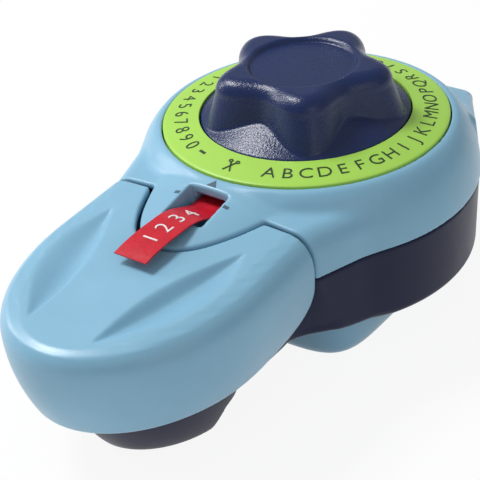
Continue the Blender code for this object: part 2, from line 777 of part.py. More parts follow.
def shape_tail_top(tail):
    """Slopes the tail's top down to the back and rounds its edges."""
    fall = block("tail_slope", (-BODY_RADIUS, 0.0, 0.0), (BODY_RADIUS, 2 * TAIL_REACH, TAIL_REACH))
    fall.location = (0.0, DIAL_Y + TAIL_ROOT_REACH, TAIL_TOP_Z + TAIL_REACH / 2)
    fall.rotation_euler = (-math.atan2(TAIL_TOP_FALL, TAIL_REACH - TAIL_ROOT_REACH), 0.0, 0.0)
    cut(tail, fall)
    edge = tail.modifiers.new("round", "BEVEL")
    edge.width = TAIL_ROUND
    edge.segments = EDGE_STEPS
    edge.limit_method = "ANGLE"
    edge.angle_limit = math.radians(50)


# Lower housing: the round shell, the grip that the hand holds, posts, lugs and the door's seat

def grip_outline(height_share, inset):
    """One closed plan outline of the grip, from its foot (0) to its top (1)."""
    swell = math.sin(math.radians(90) * height_share) ** GRIP_SWELL_POWER
    half = GRIP_FOOT_HALF_WIDTH + (GRIP_HALF_WIDTH - GRIP_FOOT_HALF_WIDTH) * swell - inset
    nose = GRIP_FOOT_NOSE_REACH + (GRIP_NOSE_REACH - GRIP_FOOT_NOSE_REACH) * swell - inset
    rear_share = min(1.0, height_share / GRIP_REAR_SHARE) ** GRIP_REAR_POWER
    rear = GRIP_FOOT_REAR_REACH - (GRIP_FOOT_REAR_REACH - GRIP_REAR_REACH) * rear_share + inset
    middle = DIAL_Y - GRIP_FOOT_REAR_REACH - (nose - GRIP_FOOT_REAR_REACH) * GRIP_MIDDLE_SHARE
    front, back = DIAL_Y - nose, DIAL_Y - rear
    outline = []
    for i in range(2 * GRIP_POINTS):
        angle = math.pi * (i + 0.5) / GRIP_POINTS
        x = half * power_of(math.sin(angle), 2 / GRIP_POWER)
        along = power_of(math.cos(angle), 2 / GRIP_POWER)
        y = middle - (middle - front) * along if along > 0 else middle - (back - middle) * along
        outline.append((x, y))
    return outline


def grip_shape(name, inset, floor_z, top_z):
    rows = []
    for share in GRIP_ROW_SHARES:
        z = floor_z + (top_z - floor_z) * share
        rows.append([(x, y, z) for x, y in grip_outline(share, inset)])
    return skin(name, rows)


def arch_line(gap):
    """The underside in profile, from the flat floor up over the fingers and down the back of the grip."""
    points = []
    for i in range(ARCH_SAMPLES + 1):
        share = i / ARCH_SAMPLES
        y = DIAL_Y - ARCH_START_REACH - (ARCH_END_REACH - ARCH_START_REACH) * share
        points.append((y, LOBE_FLOOR_Z + ARCH_RISE * share ** ARCH_POWER + gap))
    top_y, top_z = points[-1]
    foot_y = DIAL_Y - ARCH_FOOT_REACH
    out, down = ARCH_FALL_POWERS
    for i in range(1, ARCH_SAMPLES + 1):
        angle = math.radians(90) * i / ARCH_SAMPLES
        fall = max(math.cos(angle), 0.0) ** down
        points.append((top_y - (top_y - foot_y) * math.sin(angle) ** out - gap / 2,
                       (top_z + OVERRUN / 2) * fall - OVERRUN / 2 + gap / 2))
    return points


def arch_height(y):
    share = (DIAL_Y - ARCH_START_REACH - y) / (ARCH_END_REACH - ARCH_START_REACH)
    return LOBE_FLOOR_Z + ARCH_RISE * max(share, 0.0) ** ARCH_POWER


def arch_cutter(name, gap, back_y=DIAL_Y - ARCH_START_REACH):
    outline = [(back_y, -2 * OVERRUN)] + arch_line(gap)
    if back_y > DIAL_Y:
        outline.insert(1, (back_y, LOBE_FLOOR_Z + gap))
    outline.append((outline[-1][0], -2 * OVERRUN))
    return plate(name, outline, -2 * BODY_RADIUS, 2 * BODY_RADIUS, "X")


def channel(name, half_widths, low, high):
    """An upright-sided block along the body, given as (y, half width) from back to front."""
    rows = []
    for z in (low, high):
        right = [(half, y, z) for y, half in half_widths]
        rows.append(right + [(-x, y, z_) for x, y, z_ in reversed(right)])
    return skin(name, rows)


def neck_widths(inset):
    half = NECK_HALF_WIDTH - PARTING_GROOVE - inset
    return [(SEAM_Y + NECK_LENGTH, half + NECK_FLARE), (SEAM_Y + inset, half)]


def throat_widths(inset):
    half = THROAT_HALF_WIDTH - inset
    return [(SEAM_Y + NECK_LENGTH / 2, half), (DIAL_Y - ARCH_END_REACH - OVERRUN - inset, half)]


def door_outline(inset):
    front, rear = DOOR_FRONT_REACH - inset, DOOR_REAR_REACH - inset
    middle = DIAL_Y - (front - rear) / 2
    half_length = (front + rear) / 2
    points = []
    for i in range(DOOR_POINTS):
        angle = math.tau * (i + 0.5) / DOOR_POINTS
        points.append(((DOOR_HALF_WIDTH - inset) * power_of(math.sin(angle), 2 / DOOR_PLAN_POWER),
                       middle - half_length * power_of(math.cos(angle), 2 / DOOR_PLAN_POWER)))
    return points


def make_lower_housing():
    edge = BODY_EDGE_ROUND
    top_z = PARTING_Z - SEAT_GAP
    over_z = top_z + OVERRUN
    profile = [(0.0, over_z), (BODY_RADIUS - PARTING_GROOVE, over_z)]
    profile += arc(BODY_FOOT_RADIUS - edge, LOBE_FLOOR_Z + edge, edge, 0, -90, 3)
    profile.append((0.0, LOBE_FLOOR_Z))
    housing = turned("lower_housing", profile)
    grip = grip_shape("grip", 0.0, 0.0, GRIP_TOP_Z)
    tail = plate("housing_tail", tail_outline(PARTING_GROOVE), LOBE_FLOOR_Z + 2 * edge, over_z + 2 * edge)
    neck = channel("housing_neck", neck_widths(0.0), LOBE_FLOOR_Z + edge, over_z + edge)
    throat = channel("throat", throat_widths(0.0), LOBE_FLOOR_Z + 2 * edge, GRIP_TOP_Z + SEAT_GAP)
    above = block("above_parting", (-2 * BODY_RADIUS, -2 * BODY_RADIUS, top_z),
                  (2 * BODY_RADIUS, 2 * BODY_RADIUS, top_z + 4 * OVERRUN))
    join(housing, neck, throat, grip, tail)
    cut(housing, above, arch_cutter("finger_arch", 0.0))

    inner = BODY_FOOT_RADIUS - BODY_WALL
    floor_z = LOBE_FLOOR_Z + BODY_WALL
    bore = turned("housing_bore", [(0.0, PARTING_Z + OVERRUN), (inner, PARTING_Z + OVERRUN),
                                   (inner, floor_z - OVERRUN / 2), (0.0, floor_z - OVERRUN / 2)])
    bore.rotation_euler = (0.0, 0.0, math.pi / BODY_STEPS)
    passage = channel("neck_passage", neck_widths(BODY_WALL), floor_z - OVERRUN, PARTING_Z + 2 * OVERRUN)
    throat_bore = channel("throat_bore", throat_widths(BODY_WALL), floor_z - 2 * OVERRUN,
                          PARTING_Z + 3 * OVERRUN)
    hollow = grip_shape("grip_bore", GRIP_WALL, GRIP_WALL, GRIP_TOP_Z + OVERRUN)
    join(bore, passage, throat_bore, hollow)
    cut(bore, arch_cutter("arch_wall", BODY_WALL, DIAL_Y + 2 * BODY_RADIUS))
    opening = plate("door_opening", door_outline(DOOR_OPENING_INSET), LOBE_FLOOR_Z - OVERRUN, PARTING_Z)
    cut(housing, bore, opening)

    tower_y = DIAL_Y - LEVER_SPRING_REACH
    tip_z, foot_z = TOWER_Z + TOWER_NIPPLE, GRIP_WALL / 2
    tower = turned("spring_tower", [(0.0, tip_z), (TOWER_NIPPLE_RADIUS, tip_z),
                                    (TOWER_NIPPLE_RADIUS, TOWER_Z), (TOWER_RADIUS, TOWER_Z),
                                    (TOWER_RADIUS, foot_z), (0.0, foot_z)], ROD_SIDES, 0.0, tower_y)
    join(housing, tower)
    for side in (-1, 1):
        near = side * (EAR_X + EAR_THICKNESS + RUNNING_GAP)
        far = near + side * EAR_THICKNESS
        half = EAR_RADIUS
        low_z = arch_height(LEVER_PIVOT_Y + half) + BODY_WALL / 2
        outline = [(LEVER_PIVOT_Y - half, low_z + BODY_WALL / 2), (LEVER_PIVOT_Y + half, low_z)]
        outline += arc(LEVER_PIVOT_Y, LEVER_PIVOT_Z, half, 0, 180, EAR_STEPS)
        join(housing, plate("pivot_lug", outline, min(near, far), max(near, far), "X"))
    cut(housing, rod("pivot_bore", PIVOT_PIN_RADIUS + SEAT_GAP, -NECK_HALF_WIDTH + BODY_WALL,
                     NECK_HALF_WIDTH - BODY_WALL, LEVER_PIVOT_Y, LEVER_PIVOT_Z))

    for x, y in screw_places():
        join(housing, rod("screw_post", POST_RADIUS, LOBE_FLOOR_Z + BODY_WALL / 2, DECK_Z - SEAT_GAP, y, 0.0,
                          ROD_SIDES, x, True))
        cut(housing, rod("post_bore", SCREW_RADIUS + SEAT_GAP, LOBE_FLOOR_Z, DECK_Z + OVERRUN, y, 0.0,
                         SMALL_SIDES, x, True),
            rod("head_sink", SCREW_HEAD_RADIUS + SEAT_GAP, LOBE_FLOOR_Z - OVERRUN,
                LOBE_FLOOR_Z + SCREW_SINK + SCREW_HEAD, y, 0.0, SMALL_SIDES, x, True))

    # Ears for the door's hinge pin, under the back of the round shell
    half, root_z = HINGE_BARREL_RADIUS, LOBE_FLOOR_Z + BODY_WALL / 2
    for side in (-1, 1):
        near = side * (HINGE_HALF_LENGTH + RUNNING_GAP)
        far = near + side * HINGE_EAR
        outline = [(HINGE_Y + half, root_z), (HINGE_Y - half, root_z)]
        outline += arc(HINGE_Y, HINGE_Z, half, 180, 360, EAR_STEPS)
        join(housing, plate("hinge_ear", outline, min(near, far), max(near, far), "X"))
    cut(housing, rod("hinge_bore", HINGE_PIN_RADIUS + SEAT_GAP / 2, -HINGE_HALF_LENGTH - 2 * HINGE_EAR,
                     HINGE_HALF_LENGTH + 2 * HINGE_EAR, HINGE_Y, HINGE_Z, SMALL_SIDES))
    return keep(housing, NAVY)


# Squeeze lever: a crowned shell with two thumb flutes, ears for its pivot and a notch for the island

def lever_top(x, y):
    """Height of the lever's top, with its two lens-shaped flutes."""
    run = (SEAM_Y - y) / (NOSE_REACH - SEAM_REACH)
    base = LEVER_TOP_Z - LEVER_TOP_FALL * run - LEVER_TOP_CROWN * (x / LEVER_HALF_WIDTH) ** 2
    start, end = FLUTE_RUN_SHARES
    along = (run - start) / (end - start)
    if along <= 0 or along >= 1:
        return base
    rear, front = FLUTE_CHORD_SHARES
    chord = rear + (front - rear) * along
    bow = math.sin(math.pi * along)
    inner, outer = chord - FLUTE_INNER_SHARE * bow, chord + FLUTE_OUTER_SHARE * bow
    across = (abs(x) / LEVER_HALF_WIDTH - inner) / (outer - inner)
    if across <= 0 or across >= 1:
        return base
    steep, gentle = FLUTE_WALL_SHARES
    dip = min(across / steep, 1.0) * min((1 - across) / gentle, 1.0)
    return base - FLUTE_DEPTH * bow ** FLUTE_END_POWER * dip * dip * (3 - 2 * dip)


def lever_row(half_width, nose_reach, seam_y):
    """Half of a plan outline: straight from the seam, then round to the nose."""
    straight_y = SEAM_Y - LEVER_STRAIGHT
    points = []
    for i in range(LEVER_STRAIGHT_STEPS):
        points.append((half_width, seam_y + (straight_y - seam_y) * i / LEVER_STRAIGHT_STEPS))
    length = nose_reach - (DIAL_Y - straight_y)
    for i in range(LEVER_ROUND_STEPS + 1):
        angle = math.radians(90) * i / LEVER_ROUND_STEPS
        across = math.cos(angle) ** (2 / LEVER_POWER) if i < LEVER_ROUND_STEPS else 0.0
        points.append((half_width * across, straight_y - length * math.sin(angle) ** (2 / LEVER_POWER)))
    return points


def lever_rows():
    """Rows of the half shell, from the skirt's edge up over the corner and in to the middle of the top."""
    seam_y = SEAM_Y - SEAM_GAP
    rows = []
    for share in SKIRT_ROW_SHARES:
        lean = (1 - share) ** 2
        z = LEVER_SKIRT_Z + (LEVER_SIDE_Z - LEVER_SKIRT_Z) * share
        outline = lever_row(LEVER_HALF_WIDTH - LEVER_SKIRT_INSET * lean, NOSE_REACH - LEVER_NOSE_INSET * lean,
                            seam_y)
        rows.append([(x, y, z) for x, y in outline])
    for share in CORNER_ROW_SHARES:
        angle = math.radians(90) * share
        shrink = 1 - max(math.cos(angle), 0.0) ** (2 / LEVER_CORNER_POWER)
        rise = math.sin(angle) ** (2 / LEVER_CORNER_POWER)
        outline = lever_row(LEVER_HALF_WIDTH - LEVER_CORNER * shrink, NOSE_REACH - LEVER_NOSE_CORNER * shrink,
                            seam_y)
        rows.append([(x, y, LEVER_SIDE_Z + (lever_top(x, y) - LEVER_SIDE_Z) * rise) for x, y in outline])
    half, nose = LEVER_HALF_WIDTH - LEVER_CORNER, NOSE_REACH - LEVER_NOSE_CORNER
    spine_nose = (NOSE_REACH + SEAM_REACH + LEVER_STRAIGHT) / 2
    for i in range(1, LEVER_ROWS + 1):
        share = 1 - i / LEVER_ROWS
        outline = lever_row(half * share, spine_nose + (nose - spine_nose) * share, seam_y)
        rows.append([(x, y, lever_top(x, y)) for x, y in outline])
    return rows


def make_press_lever():
    rows = lever_rows()
    count = len(rows[0])
    points = [point for row in rows for point in row]
    faces = []
    for level in range(len(rows) - 1):
        for i in range(count - 1):
            low, high = level * count, (level + 1) * count
            faces.append((low + i, high + i, high + i + 1, low + i + 1))
    mesh = bpy.data.meshes.new("press_lever")
    mesh.from_pydata(points, [], faces)
    form = bmesh.new()
    form.from_mesh(mesh)
    bmesh.ops.remove_doubles(form, verts=form.verts, dist=WELD_DISTANCE)
    bmesh.ops.recalc_face_normals(form, faces=form.faces)
    form.to_mesh(mesh)
    form.free()
    lever = add_object("press_lever", mesh)
    mirror = lever.modifiers.new("mirror", "MIRROR")
    mirror.merge_threshold = 10 * WELD_DISTANCE
    wall = lever.modifiers.new("wall", "SOLIDIFY")
    wall.thickness = LEVER_WALL
    wall.offset = -1.0
    wall.use_even_offset = True

    notch = plate("island_notch", island_outline(SEAM_GAP), LEVER_SKIRT_Z + EAR_RADIUS, DIAL_Z)
    # The skirt's lower back corner sweeps up to the seam
    start_y, start_z = SEAM_Y - LEVER_SWEEP_REACH, LEVER_SKIRT_Z - OVERRUN
    sweep = [(SEAM_Y + OVERRUN, start_z), (SEAM_Y + OVERRUN, LEVER_SWEEP_Z)]
    for i in range(LEVER_SWEEP_STEPS + 1):
        angle = math.radians(90) * i / LEVER_SWEEP_STEPS
        sweep.append((SEAM_Y - SEAM_GAP - (LEVER_SWEEP_REACH - SEAM_GAP) * (1 - math.cos(angle)),
                      LEVER_SWEEP_Z - (LEVER_SWEEP_Z - LEVER_SKIRT_Z) * math.sin(angle)))
    sweep.append((start_y, start_z))
    corner = plate("skirt_corner", sweep, -2 * LEVER_HALF_WIDTH, 2 * LEVER_HALF_WIDTH, "X")
    cut(lever, notch, corner)
    for side in (-1, 1):
        near, far = side * EAR_X, side * (EAR_X + EAR_THICKNESS)
        roof = LEVER_TOP_Z - LEVER_WALL
        outline = [(SEAM_Y - SEAM_GAP - 2 * EAR_RADIUS, roof), (LEVER_PIVOT_Y - EAR_RADIUS, LEVER_PIVOT_Z)]
        outline += arc(LEVER_PIVOT_Y, LEVER_PIVOT_Z, EAR_RADIUS, 180, 360, EAR_STEPS)[1:]
        outline += [(SEAM_Y - 2 * SEAM_GAP, roof)]
        join(lever, plate("lever_ear", outline, min(near, far), max(near, far), "X"))
    end = EAR_X + 2 * EAR_THICKNESS
    cut(lever, rod("lever_bore", PIVOT_PIN_RADIUS + SEAT_GAP, -end, end, LEVER_PIVOT_Y, LEVER_PIVOT_Z))
    return keep(lever, LIGHT_BLUE)


def make_rocker_arm():
    """The arm behind the lever's pivot that lifts the hammer and carries the feed pawl."""
    top = HAMMER_BOTTOM_Z - SEAT_GAP
    tip_y = DIAL_Y - EMBOSS_REACH
    half = HAMMER_HALF_DEPTH
    low_z, high_z = LEVER_PIVOT_Z - ROCKER_HUB_RADIUS / 2, LEVER_PIVOT_Z + ROCKER_HUB_RADIUS / 2
    outline = arc(LEVER_PIVOT_Y, LEVER_PIVOT_Z, ROCKER_HUB_RADIUS, 90, 270, EAR_STEPS)
    outline += [(tip_y + half, low_z), (tip_y + half, top), (tip_y - half, top), (tip_y - half, ROCKER_WEB_Z)]
    arm = plate("rocker_arm", outline, -ROCKER_HALF_WIDTH, ROCKER_HALF_WIDTH, "X")
    hub = rod("rocker_hub", ROCKER_HUB_RADIUS, -ROCKER_HUB_HALF_LENGTH, ROCKER_HUB_HALF_LENGTH, LEVER_PIVOT_Y,
              LEVER_PIVOT_Z)
    horn_y = ROLLER_Y - RATCHET_RADIUS - EAR_RADIUS
    horn = block("rocker_horn", (ROCKER_HALF_WIDTH + EAR_THICKNESS / 2, LEVER_PIVOT_Y, low_z),
                 (PAWL_X + RATCHET_THICKNESS, horn_y, high_z))
    join(arm, hub, horn)
    cut(arm, rod("rocker_bore", PIVOT_PIN_RADIUS + SEAT_GAP, -ROCKER_HUB_HALF_LENGTH - OVERRUN,
                 ROCKER_HUB_HALF_LENGTH + OVERRUN, LEVER_PIVOT_Y, LEVER_PIVOT_Z))
    return keep(arm, STEEL)


# Dial: ring of characters, lobed knob, disc of dies, axle and clip

def make_character_ring():
    low, high = DIAL_Z, DIAL_Z + RING_RISE
    profile = [(RING_INNER_RADIUS, high), (RING_RADIUS, low), (RING_RADIUS, low - RING_THICKNESS),
               (RING_INNER_RADIUS, high - RING_THICKNESS)]
    return keep(turned("character_ring", profile, BODY_STEPS, 0.0, DIAL_Y, True), GREEN)


def knob_outline(radius, swing, z):
    row = []
    for i in range(KNOB_POINTS):
        angle = math.tau * i / KNOB_POINTS
        reach = radius + swing * math.cos(KNOB_LOBES * (angle - KNOB_TURN))
        row.append((reach * math.cos(angle), DIAL_Y + reach * math.sin(angle), z))
    return row


def make_knob():
    """Five soft lobes on a coned base, which a flange holds under the ring."""
    base_radius = RING_INNER_RADIUS - SEAT_GAP
    base_z = DIAL_Z + RING_RISE
    slope = RING_RISE / (RING_RADIUS - RING_INNER_RADIUS)
    flange_top = base_z - slope * KNOB_FLANGE_LAP - RING_THICKNESS - SEAT_GAP
    flange_low = flange_top - KNOB_FLANGE_THICKNESS
    hub_low = DISC_Z + DISC_THICKNESS + SEAT_GAP
    cone_z = base_z + KNOB_CONE_RISE
    base = turned("knob_base", [(0.0, cone_z), (base_radius - KNOB_CONE_RUN, cone_z),
                                (base_radius, base_z - SEAT_GAP), (base_radius, flange_top),
                                (KNOB_FLANGE_RADIUS, flange_top), (KNOB_FLANGE_RADIUS, flange_low),
                                (KNOB_HUB_RADIUS, flange_low), (KNOB_HUB_RADIUS, hub_low), (0.0, hub_low)])
    rows = [knob_outline(KNOB_FOOT_RADIUS, KNOB_FOOT_SWING, base_z - KNOB_SINK)]
    edge_z = KNOB_TOP_Z - KNOB_EDGE_ROUND
    for i in range(1, KNOB_ROWS + 1):
        share = i / KNOB_ROWS
        rows.append(knob_outline(KNOB_FOOT_RADIUS - KNOB_TAPER * share,
                                 KNOB_FOOT_SWING + (KNOB_TOP_SWING - KNOB_FOOT_SWING) * share,
                                 base_z + (edge_z - base_z) * share))
    for i in range(1, KNOB_ROWS + 1):
        angle = math.radians(90) * i / KNOB_ROWS
        rows.append(knob_outline(KNOB_TOP_RADIUS - KNOB_EDGE_ROUND * (1 - math.cos(angle)), KNOB_TOP_SWING,
                                 edge_z + KNOB_EDGE_ROUND * math.sin(angle)))
    knob = skin("knob", rows)
    floor_z = KNOB_TOP_Z - RECESS_DEPTH
    mouth = RECESS_RADIUS + RECESS_EASE
    recess = turned("knob_recess", [(0.0, KNOB_TOP_Z + OVERRUN), (mouth, KNOB_TOP_Z + OVERRUN),
                                    (mouth, KNOB_TOP_Z), (RECESS_RADIUS, floor_z), (0.0, floor_z)],
                    DECK_STEPS)
    join(knob, base)
    cut(knob, recess, rod("knob_bore", AXLE_RADIUS + SEAT_GAP, hub_low - OVERRUN, AXLE_TOP_Z + SEAT_GAP,
                          DIAL_Y, 0.0, ROD_SIDES, 0.0, True))
    return keep(knob, KNOB_BLUE)


def make_character_disc():
    """A disc of 45 springy fingers, one to each die, with the detent crown under its middle."""
    pitch = math.tau / CHARACTER_COUNT
    outline = []
    for i in range(CHARACTER_COUNT):
        middle = i * pitch
        for radius in (DISC_SLIT_ROOT_RADIUS, DISC_RADIUS):
            half = pitch / 2 - DISC_SLIT_WIDTH / 2 / radius
            ends = [(radius, middle - half), (radius, middle + half)]
            if radius == DISC_SLIT_ROOT_RADIUS:
                root = ends
            else:
                tip = ends
        for reach, angle in (root[0], tip[0], tip[1], root[1]):
            outline.append((reach * math.sin(angle), DIAL_Y - reach * math.cos(angle)))
    disc = plate("character_disc", outline, DISC_Z, DISC_Z + DISC_THICKNESS)
    teeth = []
    for i in range(CHARACTER_COUNT):
        for reach, angle in ((CROWN_RADIUS, i * pitch), (CROWN_RADIUS - CROWN_TOOTH, (i + 0.5) * pitch)):
            teeth.append((reach * math.sin(angle), DIAL_Y - reach * math.cos(angle)))
    join(disc, plate("detent_crown", teeth, DISC_Z - CROWN_DEPTH, DISC_Z + DISC_THICKNESS / 2))
    for name, radius, low, high in (
            ("crown_bore", CROWN_RADIUS - CROWN_WALL, DISC_Z - CROWN_DEPTH - OVERRUN, DISC_Z),
            ("disc_bore", AXLE_RADIUS + SEAT_GAP, DISC_Z - OVERRUN, DISC_Z + OVERRUN)):
        cut(disc, rod(name, radius, low, high, DIAL_Y, 0.0, ROD_SIDES, 0.0, True))
    return keep(disc, BLACK)


def make_dial_axle():
    axle = rod("dial_axle", AXLE_RADIUS, AXLE_BOTTOM_Z, AXLE_TOP_Z, DIAL_Y, 0.0, ROD_SIDES, 0.0, True)
    return keep(axle, STEEL)


def make_axle_clip():
    top = DECK_Z - SEAT_GAP
    profile = [(AXLE_RADIUS + SEAT_GAP, top), (CLIP_RADIUS, top), (CLIP_RADIUS, top - CLIP_THICKNESS),
               (AXLE_RADIUS + SEAT_GAP, top - CLIP_THICKNESS)]
    return keep(turned("axle_clip", profile, ROD_SIDES, 0.0, DIAL_Y, True), STEEL)


# Deck: the plate that carries the axle, the reel's cheeks, the rollers and the press works

def make_frame_plate():
    top = DECK_Z + DECK_THICKNESS
    deck = rod("frame_plate", DECK_RADIUS, DECK_Z, top, DIAL_Y, 0.0, DECK_STEPS, 0.0, True)
    join(deck, rod("axle_bearing", 2 * AXLE_RADIUS, DECK_Z + DECK_THICKNESS / 2,
                   DISC_Z - CROWN_DEPTH - SEAT_GAP, DIAL_Y, 0.0, ROD_SIDES, 0.0, True))
    cut(deck, block("deck_front", (-DECK_RADIUS, DIAL_Y - 2 * DECK_RADIUS, DECK_Z - OVERRUN),
                    (DECK_RADIUS, DIAL_Y - DECK_FRONT_REACH, top + OVERRUN)))
    for side in (-1, 1):
        near, far = side * CHEEK_X, side * (CHEEK_X + CHEEK_THICKNESS)
        half = CHEEK_HALF_WIDTH
        slot = TRUNNION_RADIUS + RUNNING_GAP
        outline = [(REEL_Y + half, DECK_Z + DECK_THICKNESS / 2), (REEL_Y - half, DECK_Z + DECK_THICKNESS / 2),
                   (REEL_Y - half, REEL_Z)]
        outline += arc(REEL_Y, REEL_Z, half, 180, 250, 4)[1:]
        outline += [(REEL_Y - slot, REEL_Z)] + arc(REEL_Y, REEL_Z, slot, 180, 0, 8)[1:]
        outline += arc(REEL_Y, REEL_Z, half, 290, 360, 4)
        join(deck, plate("reel_cheek_%d" % side, outline, min(near, far), max(near, far), "X"))
        near, far = side * LUG_X, side * (LUG_X + LUG_THICKNESS)
        for centre_y, centre_z in ((ROLLER_Y, ROLLER_Z), (pinch_y(), ROLLER_Z)):
            join(deck, rod("roller_lug", LUG_RADIUS, min(near, far), max(near, far), centre_y, centre_z))
    low_z, high_z = DECK_Z - 2 * OVERRUN, top + 2 * OVERRUN
    cut(deck, block("roller_window", (-LUG_X + RUNNING_GAP, ROLLER_Y - ROLLER_RADIUS - RUNNING_GAP, low_z),
                    (LUG_X - RUNNING_GAP, pinch_y() + PINCH_RADIUS + RUNNING_GAP, high_z)))
    for centre_y in (ROLLER_Y, pinch_y()):
        cut(deck, rod("roller_bore", ROLLER_AXLE_RADIUS + SEAT_GAP, -ROLLER_AXLE_HALF - OVERRUN,
                      ROLLER_AXLE_HALF + OVERRUN, centre_y, ROLLER_Z, SMALL_SIDES))
    pawl_y = pawl_pivot()[0]
    cut(deck, block("pawl_window",
                    (PAWL_X + RATCHET_THICKNESS - RUNNING_GAP, pawl_y - 2 * LUG_RADIUS, low_z + OVERRUN / 2),
                    (LUG_X - RUNNING_GAP, ROLLER_Y, high_z - OVERRUN / 2)))
    hammer_y, blade_y = DIAL_Y - EMBOSS_REACH, DIAL_Y - BLADE_REACH
    for name, y, half_width, half_depth in (
            ("hammer_hole", hammer_y, HAMMER_HALF_WIDTH + SEAT_GAP, HAMMER_HALF_DEPTH + SEAT_GAP),
            ("blade_slot", blade_y, BLADE_HALF_WIDTH + SEAT_GAP, BLADE_THICKNESS / 2 + SEAT_GAP)):
        cut(deck, block(name, (-half_width, y - half_depth, low_z), (half_width, y + half_depth, high_z)))
    holes = [("stem_hole", BLADE_STEM_RADIUS + SEAT_GAP, 0.0, blade_y, SMALL_SIDES),
             ("axle_hole", AXLE_RADIUS + SEAT_GAP / 2, 0.0, DIAL_Y, ROD_SIDES)]
    holes += [("deck_screw_hole", SCREW_RADIUS + SEAT_GAP, x, y, SMALL_SIDES) for x, y in screw_places()]
    for name, radius, x, y, sides in holes:
        cut(deck, rod(name, radius, low_z, high_z, y, 0.0, sides, x, True))
    return keep(deck, BLACK)


def pinch_y():
    """The pinch roller stands behind the climbing tape, level with the feed roller."""
    tape_y = TAPE_START_Y - (ROLLER_Z - TAPE_START_Z) * math.tan(TAPE_CLIMB)
    return tape_y + (TAPE_THICKNESS / 2 + SEAT_GAP + PINCH_RADIUS) / math.cos(TAPE_CLIMB)


# Tape: the roll on its spool, the web that climbs to the rollers, and the label in the window

def strip(name, centre_line):
    """A strip of tape along a line of (y, z) points."""
    over, under = [], []
    half = TAPE_THICKNESS / 2
    for i, (y, z) in enumerate(centre_line):
        before = Vector(centre_line[max(i - 1, 0)])
        after = Vector(centre_line[min(i + 1, len(centre_line) - 1)])
        way = (after - before).normalized()
        over.append((y - way.y * half, z + way.x * half))
        under.append((y + way.y * half, z - way.x * half))
    outline = over + list(reversed(under))
    return keep(plate(name, outline, -TAPE_WIDTH / 2, TAPE_WIDTH / 2, "X"), RED_TAPE)


def make_tape_web():
    line = [(TAPE_START_Y, TAPE_START_Z)]
    line += arc(ROLLER_Y, ROLLER_Z, TAPE_WRAP, math.degrees(TAPE_CLIMB), 90, 6)
    line.append((DIAL_Y - BLADE_REACH + CUT_GAP, TAPE_Z))
    return strip("tape_web", line)


def make_label_strip():
    """The cut label, held in the slot: it rises out of the window and curls down over the lever."""
    line = [(DIAL_Y - BLADE_REACH - CUT_GAP, TAPE_Z)]
    for reach_share, rise_share in LABEL_LINE_SHARES:
        line.append((WINDOW_BACK_Y - LABEL_REACH * reach_share, TAPE_Z + LABEL_RISE * rise_share))
    return strip("label_strip", line)


def make_tape_roll():
    half = TAPE_WIDTH / 2
    profile = [(ROLL_CORE_RADIUS + SEAT_GAP, half), (ROLL_RADIUS, half), (ROLL_RADIUS, -half),
               (ROLL_CORE_RADIUS + SEAT_GAP, -half)]
    roll = turned("tape_roll", profile, ROLL_STEPS, 0.0, 0.0, True)
    return keep(lay_across(roll, REEL_Y, REEL_Z), RED_TAPE)


def make_tape_spool():
    inner = TAPE_WIDTH / 2 + SEAT_GAP
    outer = inner + SPOOL_FLANGE
    end = CHEEK_X + CHEEK_THICKNESS
    half = [(0.0, end), (TRUNNION_RADIUS, end), (TRUNNION_RADIUS, outer), (SPOOL_FLANGE_RADIUS, outer),
            (SPOOL_FLANGE_RADIUS, inner), (ROLL_CORE_RADIUS, inner)]
    profile = half + [(radius, -height) for radius, height in reversed(half)]
    spool = turned("tape_spool", profile, ROLL_STEPS, 0.0, 0.0)
    return keep(lay_across(spool, REEL_Y, REEL_Z), WHITE)


# Feed works: knurled roller with its ratchet, pinch roller, pawl, and their pins

def make_feed_roller():
    half = TAPE_WIDTH / 2
    outline = []
    for i in range(2 * ROLLER_FLUTES):
        angle = math.pi * i / ROLLER_FLUTES
        reach = ROLLER_RADIUS if i % 2 else ROLLER_RADIUS - SEAT_GAP
        outline.append((ROLLER_Y + reach * math.cos(angle), ROLLER_Z + reach * math.sin(angle)))
    roller = plate("feed_roller", outline, -half, half, "X")
    cut(roller, rod("feed_roller_bore", ROLLER_AXLE_RADIUS + SEAT_GAP / 2, -half - OVERRUN, half + OVERRUN,
                    ROLLER_Y, ROLLER_Z, SMALL_SIDES))
    return keep(roller, RUBBER)


def make_ratchet_wheel():
    outline = []
    root = RATCHET_RADIUS * RATCHET_ROOT_SHARE
    for i in range(RATCHET_TEETH):
        for radius, turn in ((RATCHET_RADIUS, i), (root, i + RATCHET_STEEP_SHARE)):
            angle = math.tau * turn / RATCHET_TEETH
            outline.append((ROLLER_Y + radius * math.cos(angle), ROLLER_Z + radius * math.sin(angle)))
    wheel = plate("ratchet_wheel", outline, RATCHET_X, RATCHET_X + RATCHET_THICKNESS, "X")
    cut(wheel, rod("ratchet_bore", ROLLER_AXLE_RADIUS + SEAT_GAP / 2, RATCHET_X - OVERRUN,
                   RATCHET_X + RATCHET_THICKNESS + OVERRUN, ROLLER_Y, ROLLER_Z, SMALL_SIDES))
    return keep(wheel, WHITE)


def make_roller_axle(name, y):
    half = ROLLER_AXLE_HALF
    return keep(rod(name, ROLLER_AXLE_RADIUS, -half, half, y, ROLLER_Z, SMALL_SIDES), STEEL)


def make_pinch_roller():
    half = TAPE_WIDTH / 2
    profile = [(ROLLER_AXLE_RADIUS + SEAT_GAP / 2, half), (PINCH_RADIUS, half), (PINCH_RADIUS, -half),
               (ROLLER_AXLE_RADIUS + SEAT_GAP / 2, -half)]
    roller = turned("pinch_roller", profile, ROD_SIDES, 0.0, 0.0, True)
    return keep(lay_across(roller, pinch_y(), ROLLER_Z), WHITE)


def pawl_pivot():
    return ROLLER_Y - RATCHET_RADIUS - EAR_RADIUS / 2, LEVER_PIVOT_Z


